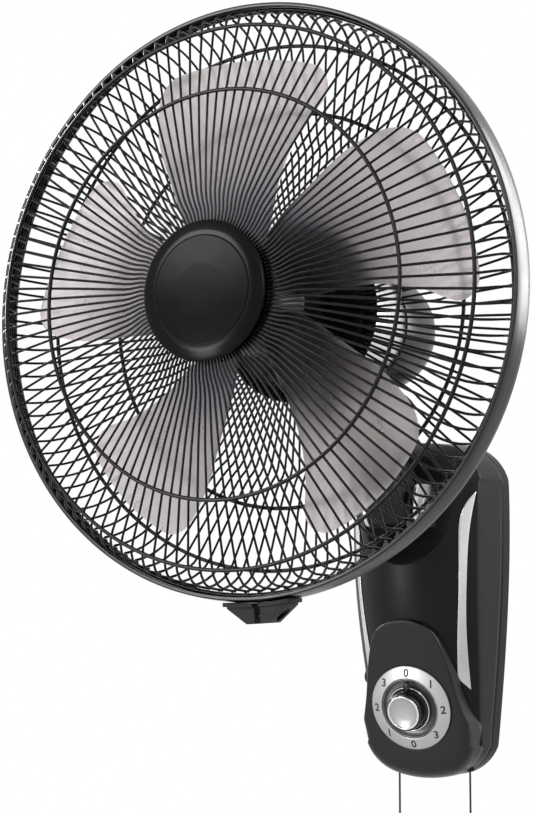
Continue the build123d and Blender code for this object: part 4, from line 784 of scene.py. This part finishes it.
plated = zinc("zinc_plate", (0.62, 0.63, 0.64), (0.30, 0.46), 300)
small_black = moulded_plastic("black_moulding", 0.004, 0.007, (0.40, 0.50), 1200, 0.00002, 0.14)
place_copy("wall_plate", "back_plate", 0.3, "base", "galvanised_steel", plated)
place_copy("tilt_bracket", "neck_bracket", 0.5, "base", "galvanised_steel", plated)
place_copy("neck_arm", "neck_moulding", 1.2, "neck", "black_small_parts", small_black, 3)
for node, name, ease in (("cable_gland", "lead_inlet", 0.3), ("cord_bushes", "cord_eyelets", 0.2)):
    place_copy(node, name, ease, "base", "black_small_parts", small_black)
fixing = zinc("zinc_fixing", (0.60, 0.60, 0.57), (0.25, 0.36), 500)
for node, body, name in (
    ("tilt_bolt", "base", "neck_bolt"), ("tilt_nut", "base", "neck_bolt_nut"),
    ("tilt_washers", "base", "friction_washers"), ("bracket_bolts", "base", "bracket_fixings"),
    ("housing_screws", "base", "shell_screws"), ("pivot_pin", "head", "swing_pin"),
    ("link_pin", "neck", "link_rivet"), ("motor_screws", "head", "motor_rods"),
):
    place_copy(node, name, 0.25, body, "zinc_fixings", fixing)
nylon = moulded_plastic("natural_nylon", (0.62, 0.61, 0.57), (0.70, 0.69, 0.65), (0.4, 0.5), 900, 0.00001)
place_copy("thrust_washer", "swing_washer", 0.3, "head", "washer_plastic", nylon)

# ------------------------------------------------------------------------------- switch gear
# Bought pull switches, a capacitor and a terminal block sit inside the housing, all plain ivory
# mouldings. The knob's spindle, the pulls' sliders, the bearings and the rotor's shaft are of
# ground steel.
ivory = moulded_plastic("ivory_moulding", (0.60, 0.58, 0.52), (0.68, 0.66, 0.60), (0.35, 0.5), 700, 0.00001)
for node in ("speed_switch", "swing_switch", "capacitor", "terminal_block"):
    place_copy(node, f"{node}_case", 0.6, "base", "switch_plastic", ivory)
ground = zinc("ground_steel", (0.66, 0.66, 0.67), (0.15, 0.25), 900)
for node, body in (
    ("switch_spindle", "knob"), ("speed_slider", "speed_pull"), ("swing_slider", "swing_pull"),
    ("bearings", "head"), ("rotor_shaft", "rotor"),
):
    place_copy(node, f"{node}_turned", 0.2, body, "shaft_steel", ground)

# ------------------------------------------------------------------------------- swing drive
# The motor sits on a black bent bracket that turns on the neck's pin. Under it a small geared
# motor turns a crank, and a plated link ties the crank to the neck.
coated = moulded_plastic("powder_coat", 0.007, 0.011, (0.34, 0.44), 1500, 0.00003)
place_copy("motor_bracket", "motor_saddle", 0.6, "head", "black_bracket", coated)
pressed_can = zinc("pressed_can", 0.58, (0.25, 0.4), 400)
place_copy("swing_motor", "swing_motor_can", 0.8, "head", "swing_motor_case", pressed_can, 3)
for node, name in (("swing_crank", "swing_crank_arm"), ("swing_link", "swing_link_bar")):
    place_copy(node, name, 0.3, f"{node}_body", "swing_linkage", fixing)

# ------------------------------------------------------------------------------- motor
# Two pressed steel covers painted black clamp a bare steel band round the stator. The rear cover is
# domed, with a ring of vent slots.
HEAD_PLACE = (0.0, -350.0, 233.5)
MOTOR_RADIUS, BAND_RADIUS = 48.0, 48.5
MOTOR_FRONT, BAND_START, BAND_END, MOTOR_END = -90.0, -113.0, -182.0, -256.0
VENTS, VENT_LOW, VENT_HIGH = 12, 24.5, 41.0
BELL_WALL, BELL_EDGE = 1.6, 0.3
head_frame = (np.array(HEAD_PLACE), np.array([(1, 0, 0), (0, 0, 1), (0, -1, 0)]))
motor_black = moulded_plastic(
    "painted_motor_steel", 0.006, (0.009, 0.009, 0.010), (0.26, 0.36), 250, 0.00001, 0.35
)
front_cover = turned("motor_front", [
    (4.8, -79), (12, -79), (12, MOTOR_FRONT), (30, MOTOR_FRONT),
    (32, MOTOR_FRONT - 1.2), (41, MOTOR_FRONT - 1.2),
    (45.5, MOTOR_FRONT - 2.2), (MOTOR_RADIUS, MOTOR_FRONT - 6), (MOTOR_RADIUS, BAND_START + 4.5),
    (MOTOR_RADIUS - 0.5, BAND_START + 4), (MOTOR_RADIUS - 0.5, BAND_START), (46, BAND_START), (46, -95),
    (43, -93), (4.8, -93),
], head_frame, 144, 1.0, 4)
place(front_cover, "head", "motor_black", motor_black, "motor_front_cover")
band_steel = ring_metal("bare_band_steel", (0.55, 0.55, 0.56), (0.66, 0.66, 0.67), (0.22, 0.34), HEAD_PLACE)
band = turned("motor_band_ring", [
    (BAND_RADIUS, BAND_START), (BAND_RADIUS, BAND_END), (46.5, BAND_END), (46.5, BAND_START),
], head_frame, 144, 0.6)
place(band, "head", "motor_silver", band_steel, "motor_band")
bell_curve = np.array([        # radius, and height in front of the bell's end
    (50.0, MOTOR_END - BAND_END), (50.0, -46), (49.9, -35), (49.0, -24), (47.2, -16), (44.2, -10.5),
    (VENT_HIGH, -6.8), (38.3, -4.8), (35, -3.2), (31.5, -2.0), (28, -1.1), (VENT_LOW, -0.5), (20, -0.1),
    (12, 0), (6, 0), (0, 0),
])
FIRST_SLOT_ROW, LAST_SLOT_ROW = 6, 11
SLOT_SHARE = 0.28              # half a slot's share of the way round to the next
SLOT_COLUMNS = 20              # columns of the mesh from one slot to the next
bell_columns = VENTS * SLOT_COLUMNS
bell_r, bell_h = bell_curve[:, :1], MOTOR_END - bell_curve[:, 1:]
# -1 and 1 at a slot's sides, -2 and 2 between slots
across_vent = (np.arange(bell_columns) % SLOT_COLUMNS - (SLOT_COLUMNS - 1) / 2) / (SLOT_COLUMNS / 4)
inside_slot = np.abs(across_vent) <= 1
past_slot = SLOT_SHARE + (np.abs(across_vent) - 1) * (1 - SLOT_SHARE)
in_turn = np.where(inside_slot, across_vent * SLOT_SHARE, np.sign(across_vent) * past_slot) * math.pi / VENTS
bell_angle = 2 * math.pi / VENTS * (np.arange(bell_columns) // SLOT_COLUMNS + 0.5) + in_turn
bell_grid = spun(bell_r, bell_angle, bell_h)
bell_faces = grid_faces(len(bell_r), bell_columns, close_columns=True)
row_of, column_of = np.divmod(np.arange(len(bell_faces)), bell_columns)
vent_rows = (row_of >= FIRST_SLOT_ROW) & (row_of < LAST_SLOT_ROW)
vent_columns = inside_slot[column_of] & inside_slot[(column_of + 1) % bell_columns]
bell_faces = bell_faces[~(vent_rows & vent_columns)]
bell_cover = piece("motor_rear_bell", on_frame(bell_grid, head_frame), bell_faces)
thicken(bell_cover, BELL_WALL)
bell_edge = bell_cover.modifiers.new("edge", "BEVEL")
bell_edge.width = BELL_EDGE * MM
bell_edge.segments = 2
bell_edge.limit_method = "ANGLE"
bell_edge.angle_limit = math.radians(50)
place(bell_cover, "head", "motor_black", motor_black, "motor_rear_cover")

# Inside are stacked steel laminations and two rings of enamelled copper wire.
WINDING_TURNS = 48
WINDING_STARTS = (-128.0, -165.0)
WINDING_RADIUS, WINDING_HALF, WINDING_HALF_DEPTH = 33.2, 6.0, 5.2
WINDING_SWELL = 0.06           # how far each turn of wire stands out
WINDING_COLUMNS, WINDING_SIDES = 288, 16
laminated, tree, shader, coordinates = new_material(
    "stacked_laminations", {"Metallic": 0.8, "Roughness": 0.5}
)
layers = noise(tree, coordinates, 8, 2, (1, 300, 1))
tint(tree, shader, layers, [(0.35, 0.05), (0.65, (0.16, 0.16, 0.165))])
grain(tree, shader, layers, 0.0002)
for node, body in (("stator_core", "head"), ("rotor_core", "rotor")):
    place_copy(node, f"{node}_stack", 0.3, body, "lamination_steel", laminated)
enamel, tree, shader, coordinates = new_material(
    "enamelled_copper", {"Metallic": 0.9, "Roughness": 0.35}
)
strands = noise(tree, coordinates, 60, 2, (1, 20, 1))
tint(tree, shader, strands, [(0.35, (0.30, 0.10, 0.04)), (0.65, (0.62, 0.27, 0.12))])
grain(tree, shader, strands, 0.0006)
angle = whole_turn(WINDING_COLUMNS)
tube_angle = whole_turn(WINDING_SIDES)[:, None]
swell = 1 + WINDING_SWELL * np.cos(WINDING_TURNS * angle + 2 * np.sin(tube_angle))
winding_faces = grid_faces(WINDING_SIDES, WINDING_COLUMNS, True, True)
for index, start in enumerate(WINDING_STARTS):
    r = WINDING_RADIUS + WINDING_HALF * swell * np.cos(tube_angle)
    h = start + 5.5 + WINDING_HALF_DEPTH * swell * np.sin(tube_angle)
    coil = piece(f"winding_{index}", on_frame(spun(r, angle, h), head_frame), winding_faces)
    place(coil, "head", "copper", enamel, *(["stator_windings"] if index == 0 else []))

# ------------------------------------------------------------------------------- guard hoop
# A moulded black band joins the two halves of the guard, with a lip in front of the front rim wire
# and one behind the rear rim wire. Two clips and a screw close it at the bottom.
HOOP_PROFILE = [
    (221.6, -0.1), (222.5, -7), (223.1, -14), (223.2, -19), (220.5, -19.2), (220.5, -17.2), (221, -17.2),
    (219.4, -2.1), (218.6, -2), (218.6, 0),
]
hoop_black = moulded_plastic("hoop_moulding", 0.003, 0.005, (0.26, 0.32), 600, 0.000002, 0.35)
hoop = turned("hoop_band", HOOP_PROFILE, head_frame, 288, 0.9, 4)
place(hoop, "head", "hoop_black", hoop_black, "guard_hoop")
place_copy("hoop_clips", "hoop_clip_halves", 0.5, "head", "black_small_parts", small_black)
place_copy("hoop_screw", "hoop_clip_screw", 0.3, "head", "zinc_fixings", fixing)

# ------------------------------------------------------------------------------- guard wires
# Each half of the guard is 120 steel wires, spot-welded under two rings and inside a rim wire and
# dipped in gloss black. Beyond the last ring the front wires bend back into the hoop and the rear
# wires bend forward into it, so the two rims lie side by side there.
WIRES = 120
WIRE_RADIUS, RING_RADIUS, RIM_RADIUS = 1.0, 1.5, 1.8
FRONT_WIRE = [                 # radius, height in front of the lip, degrees anticlockwise
    (43, 40, -2.6), (58, 39.1, -2.6), (72, 38, 0), (110, 34.8, 0), (149.3, 29.3, 0), (199.4, 17.6, 0),
    (207.49, 14.2, 0.24), (212.79, 8.0, 0.6), (214.89, -8.6, 1.2),
]
REAR_WIRE = [
    (61, -86.9, 0), (76, -86, 0), (125, -80.5, 0), (135, -71.5, 0), (152.5, -62.8, 0), (200, -42.7, 0),
    (206.49, -36.5, 0), (212.79, -24, 0), (215.29, -11.15, 0),
]
FRONT_RINGS = [(149.3, 32.1, RING_RADIUS), (199.4, 20.4, RING_RADIUS), (217.74, -8.0, RIM_RADIUS)]
REAR_RINGS = [(152.5, -65.6, RING_RADIUS), (200.0, -45.5, RING_RADIUS), (218.14, -11.75, RIM_RADIUS)]
WIRE_SIDES = 6


def bent_wire(stations, reach_back=3.5):
    """One wire's centre line in the head's frame: the stations with each bend cut by a chord that
    starts and ends `reach_back` from it."""
    stations = np.array(stations, dtype=float)
    spots = [stations[0]]
    for before, here, after in zip(stations[:-2], stations[1:-1], stations[2:]):
        for other in (before, after):
            length = np.hypot(*(other - here)[:2]) + np.abs(np.radians(other - here)[2]) * here[0]
            spots.append(here + (other - here) * min(reach_back / length, 0.4))
    spots = np.array([*spots, stations[-1]])
    turn = np.radians(spots[:, 2])
    return spun(spots[:, 0], turn, spots[:, 1])


def copied_round(points, faces, turns):
    """Points and faces of one part, copied to each of the turns round the axis."""
    x, y, h = points[..., 0], points[..., 1], points[..., 2]
    turns = turns[:, None, None]
    copies = np.stack([
        x * np.cos(turns) - y * np.sin(turns), x * np.sin(turns) + y * np.cos(turns), h + 0 * turns
    ], -1)
    count = points.shape[0] * points.shape[1]
    every = (faces + (np.arange(len(turns)) * count)[:, None, None]).reshape(-1, 4)
    return copies.reshape(-1, 3), every


def wire_fan(name, stations):
    """All the wires of one guard half: a circle carried along one bent wire, then the wire turned
    round the axis in equal steps. Each end is closed in a point."""
    line = bent_wire(stations)
    along = np.gradient(line, axis=0)
    along /= np.linalg.norm(along, axis=1, keepdims=True)
    outwards = np.cross(along, (0, 0, 1.0))
    outwards /= np.linalg.norm(outwards, axis=1, keepdims=True)
    upwards = np.cross(outwards, along)
    side = whole_turn(WIRE_SIDES)[:, None]
    one = line[:, None] + WIRE_RADIUS * (np.cos(side) * outwards[:, None] + np.sin(side) * upwards[:, None])
    one = np.concatenate([one[:1] * 0 + line[0], one, one[-1:] * 0 + line[-1]])
    faces = grid_faces(len(one), WIRE_SIDES, close_columns=True)
    fan, every = copied_round(one, faces, whole_turn(WIRES))
    return piece(name, on_frame(fan, head_frame), every)


def ring_set(name, rings, segments=240, sides=10):
    """Rings of round wire about the blade axis, from (radius, height, wire radius)."""
    points, faces = [], []
    turn = whole_turn(segments)
    side = whole_turn(sides)[:, None]
    for index, (radius, height, wire) in enumerate(rings):
        r = radius + wire * np.cos(side)
        points.append(spun(r, turn, height + wire * np.sin(side)))
        faces.append(grid_faces(sides, segments, True, True) + index * segments * sides)
    return piece(name, on_frame(np.array(points).reshape(-1, 3), head_frame), np.concatenate(faces))


dipped = moulded_plastic("dipped_wire", 0.002, 0.004, (0.20, 0.30), 500, 0.00001, 0.16)
place(wire_fan("front_wires", FRONT_WIRE), "head", "guard_paint", dipped, "front_guard_wires")
place(wire_fan("rear_wires", REAR_WIRE), "head", "guard_paint", dipped, "rear_guard_wires")
place(ring_set("front_rings", FRONT_RINGS), "head", "guard_paint", dipped, "front_guard_rings")
place(ring_set("rear_rings", REAR_RINGS), "head", "guard_paint", dipped, "rear_guard_rings")
rear_plate = turned("rear_guard_disc", [
    (12.05, -88), (30, -88), (33, -87.2), (56, -87.2), (59, -88), (69, -88), (70, -88.6), (70, -89.6),
    (69, -90), (12.05, -90),
], head_frame, 144, 0.8)
place(rear_plate, "head", "guard_paint", dipped, "rear_guard_plate")
place_copy("guard_nut", "guard_ring_nut", 0.6, "head", "black_small_parts", small_black)

# ------------------------------------------------------------------------------- guard cap
# A black plastic cap holds the wires' inner ends against a backing disc. Its rim is glossy and
# conical, and a slightly crowned glossy disc is glued into it.
gloss_black = moulded_plastic("gloss_black_cap", 0.002, 0.003, (0.18, 0.22), 300, 0.000001, 0.08)
cap = turned("cap_rim", [
    (0, 48.9), (39.7, 48.9), (39.7, 49.85), (43.5, 49.4), (47.5, 48.4), (50.7, 47.5), (51.5, 46.6),
    (51.1, 45.4), (48.5, 41.05), (42, 41.05), (42, 45.9), (8, 45.9), (8, 40.1), (0, 40.1),
], head_frame, 192, 1.0, 4)
place(cap, "head", "cap_black", gloss_black, "guard_cap")
disc_black = moulded_plastic("gloss_black_disc", 0.002, 0.003, (0.22, 0.26), 300, 0.000001, 0.05)
cap_disc = turned("cap_disc", [
    (0, 48.95), (39.6, 48.95), (39.65, 49.9), (39.2, 50.05), (30, 50.6), (20, 51.05), (10, 51.22),
    (0, 51.28),
], head_frame, 192, 0.8, 4)
place(cap_disc, "head", "cap_black", disc_black, "guard_cap_disc")
place_copy("cap_backing", "cap_back_disc", 0.4, "head", "black_small_parts", small_black)

# ------------------------------------------------------------------------------- blades
# Five blades and their hub are one moulding of smoky translucent plastic, thin and hollow in front,
# held by a black nut on the motor's shaft. The plastic is a pale smoky pink, and its colour is painted
# darker towards the hub: a painted shade for the black motor seen through it.
BLADES = 5
BLADE_RADIUS, BLADE_CORNER, BLADE_THICK = 183.0, 20.0, 2.0
HUB_RADIUS = 40.0
BLADE_LEVELS = np.array([       # distance, half width, middle's height, slope across, sag
    (30, 60, -9.0, 0.50, 3), (90, 80, -8.5, 0.38, 5), (140, 95, -7.8, 0.28, 6), (192, 105, -7.5, 0.235, 7),
], dtype=float)
LEADING = [                     # distance, degrees clockwise from the blade's middle
    (38, 17.5), (66, 15.3), (92, 14.2), (112, 15.2), (130, 17.0), (147, 19.3), (158, 21.0), (183, 21.5),
]
TRAILING = [(38, -40), (60, -38), (95, -32), (140, -27.5), (172, -23), (183, -22)]
corner_start = BLADE_RADIUS - BLADE_CORNER
radial = np.concatenate([
    np.linspace(HUB_RADIUS - 2.0, corner_start, 26)[:-1],
    corner_start + BLADE_CORNER * np.sin(np.linspace(0, math.pi / 2, 12)),
])
lead_edge, trail_edge = [
    np.interp(radial, *curve_through(edge, 200).T) for edge in (LEADING, TRAILING)
]
into_corner = np.clip(radial - corner_start, 0, BLADE_CORNER)
corner_cut = np.degrees((BLADE_CORNER - np.sqrt(BLADE_CORNER**2 - into_corner**2)) / radial)
share = np.linspace(0, 1, 25)
bearing = np.radians(
    (trail_edge + corner_cut)[:, None] * (1 - share) + (lead_edge - corner_cut)[:, None] * share
)
blade_x, blade_y = radial[:, None] * np.sin(bearing), radial[:, None] * np.cos(bearing)


def blade_value(column, distance):
    """A column of the blade's levels as one smooth curve over the distance from the axis."""
    return np.polyval(np.polyfit(BLADE_LEVELS[:, 0], BLADE_LEVELS[:, column], 3), distance)


level_at = np.clip(blade_y, 25, 192)
blade_h = blade_value(2, level_at) - blade_value(3, level_at) * blade_x
blade_h -= blade_value(4, level_at) * (1 - (blade_x / blade_value(1, level_at)) ** 2)
side_ease = np.minimum(np.minimum(share, 1 - share) * 12, 1)
edge_ease = side_ease[None, :] * np.minimum((BLADE_RADIUS - radial) / 3, 1)[:, None]
half_thick = BLADE_THICK / 2 * (0.35 + 0.65 * np.sqrt(np.clip(edge_ease, 0, 1)))
blade_top = np.stack([blade_x, blade_y, blade_h - BLADE_THICK / 2 + half_thick], -1)
blade_low = np.stack([blade_x, blade_y, blade_h - BLADE_THICK / 2 - half_thick], -1)
blade_loop = np.concatenate([blade_top, blade_low[:, ::-1]], axis=1)
rows, columns = blade_loop.shape[:2]
blade_faces = [grid_faces(rows, columns, close_columns=True)]
tip_row = (rows - 1) * columns
low = np.arange(columns // 2 - 1)
for base_row in (0, tip_row):
    blade_faces.append(base_row + np.stack([low, low + 1, columns - 2 - low, columns - 1 - low], -1))
blade_faces = np.concatenate(blade_faces)
all_blades, every_blade = copied_round(blade_loop, blade_faces, -2 * math.pi / BLADES * np.arange(BLADES))
blades = piece("smoky_blades", on_frame(all_blades, head_frame), every_blade)
sharpen(blades, 60)

smoke, tree, shader, coordinates = new_material(
    "smoky_plastic", {"Transmission Weight": 0.94, "IOR": 1.35}
)
from_axis = tree.nodes.new("ShaderNodeMapping")
from_axis.inputs["Location"].default_value = (-HEAD_PLACE[0] * MM, 0, -HEAD_PLACE[2] * MM)
from_axis.inputs["Scale"].default_value = (1, 0, 1)
link(tree, coordinates, from_axis.inputs["Vector"])
axis_distance = tree.nodes.new("ShaderNodeVectorMath")
axis_distance.operation = "LENGTH"
link(tree, from_axis.outputs["Vector"], axis_distance.inputs[0])
clouds = between(tree, noise(tree, coordinates, 22, 3), -0.006, 0.006, 0.3, 0.7)
drifted = tree.nodes.new("ShaderNodeMath")
link(tree, axis_distance.outputs["Value"], drifted.inputs[0])
link(tree, clouds, drifted.inputs[1])
# Painted shade: darker towards the axis for the black motor behind; the pale tips are the plastic's own.
painted_hub_shade = between(tree, drifted.outputs[0], 0, 1, 0.035, 0.185)
tint(tree, shader, painted_hub_shade, [
    (0.0, (0.05, 0.05, 0.075)), (0.22, (0.18, 0.17, 0.21)), (0.45, (0.44, 0.40, 0.42)),
    (0.7, (0.64, 0.585, 0.59)), (1.0, (0.70, 0.65, 0.655)),
])
uneven_gloss(tree, shader, noise(tree, coordinates, 45, 3), (0.26, 0.34))
grain(tree, shader, noise(tree, coordinates, 35, 2), 0.00003)
place(blades, "rotor", "blade_smoke", smoke, "fan_blades")
hub = turned("blade_hub", [
    (4.02, 12), (34, 12), (38.5, 9.5), (HUB_RADIUS, 5), (HUB_RADIUS, -30), (37.5, -30), (37.5, 5),
    (34, 9.5), (12, 9.5), (12, -30), (4.02, -30),
], head_frame, 144, 1.2, 4)
place(hub, "rotor", "blade_smoke", smoke)
place_copy("blade_nut", "blade_spinner_nut", 0.6, "rotor", "black_small_parts", small_black)

# ------------------------------------------------------------------------------- pull cords
# Two thin braided cords hang from eyelets in the housing's bottom, the left one for the speed and
# the right one for the swing. Each ends in a small moulded bell below the picture's edge.
CORD_ACROSS, CORD_FORWARD = 34.0, 19.0
CORD_RADIUS = 0.9
CORD_HEIGHTS = (-115.0, -142.0, -170.0, -205.0, -240.0, -268.0)
BELL_PROFILE = [
    (0.95, -268.1), (0.95, -262.1), (2.0, -262), (3.1, -263.2), (3.25, -266), (3.2, -268.5), (4.0, -274),
    (5.3, -280.5), (6.4, -287), (6.5, -289.5), (6.1, -291.2), (5.0, -292), (0, -292),
]
cord_black, tree, shader, coordinates = new_material("braided_cord", {"Roughness": 0.7})
braid = tree.nodes.new("ShaderNodeTexWave")
braid.wave_type = "BANDS"
braid.bands_direction = "DIAGONAL"
braid.inputs["Scale"].default_value = 500
braid.inputs["Distortion"].default_value = 1.5
link(tree, coordinates, braid.inputs["Vector"])
tint(tree, shader, braid.outputs["Fac"], [(0.2, 0.008), (0.8, 0.022)])
grain(tree, shader, braid.outputs["Fac"], 0.0002)
bell_black = moulded_plastic("bell_moulding", 0.010, 0.015, (0.2, 0.3), 500, 0.00001)
for side, across in (("speed", -CORD_ACROSS), ("swing", CORD_ACROSS)):
    bell_frame = (np.array([across, -CORD_FORWARD, 0]), np.eye(3))
    bell = turned(f"{side}_pull_bell", BELL_PROFILE, bell_frame, 48, 0.6)
    place(bell, f"{side}_pull", "bell_black", bell_black, f"{side}_bell")
    cord_curve = bpy.data.curves.new(f"{side}_pull_cord", "CURVE")
    cord_curve.dimensions = "3D"
    cord_curve.bevel_depth = CORD_RADIUS * MM
    cord_curve.bevel_resolution = 3
    cord_curve.use_fill_caps = True
    route = cord_curve.splines.new("NURBS")
    route.points.add(len(CORD_HEIGHTS) - 1)
    for point, height in zip(route.points, CORD_HEIGHTS):
        point.co = (across * MM, -CORD_FORWARD * MM, height * MM, 1)
    route.order_u = 3
    route.use_endpoint_u = True
    cord = new_object(f"{side}_pull_cord", cord_curve)
    place(cord, f"{side}_pull", "cord_black", cord_black, f"{side}_cord")

# ------------------------------------------------------------------------------- floor
# A pale round studio floor lies under the hanging cords. It isn't part of the fan, and its faint
# mottle only keeps it from being a flat colour.
FLOOR_HEIGHT = -312.0
FLOOR_RADIUS = 800.0
FLOOR_FORWARD = -200.0
FLOOR_SIDES = 96
floor_angle = whole_turn(FLOOR_SIDES)
floor_grid = spun(np.array([0.0, FLOOR_RADIUS])[:, None], floor_angle, np.zeros((2, 1)))
floor_grid = floor_grid + (0, FLOOR_FORWARD, FLOOR_HEIGHT)
floor = piece("studio_floor", floor_grid, grid_faces(2, FLOOR_SIDES, close_columns=True), outwards=False)
if floor.data.polygons[50].normal.z < 0:
    floor.data.flip_normals()
pale, tree, shader, coordinates = new_material("pale_floor", {"Roughness": 0.6})
mottle = noise(tree, coordinates, 6, 4)
tint(tree, shader, mottle, [(0.3, (0.76, 0.76, 0.75)), (0.7, (0.82, 0.82, 0.81))])
floor.data.materials.append(pale)
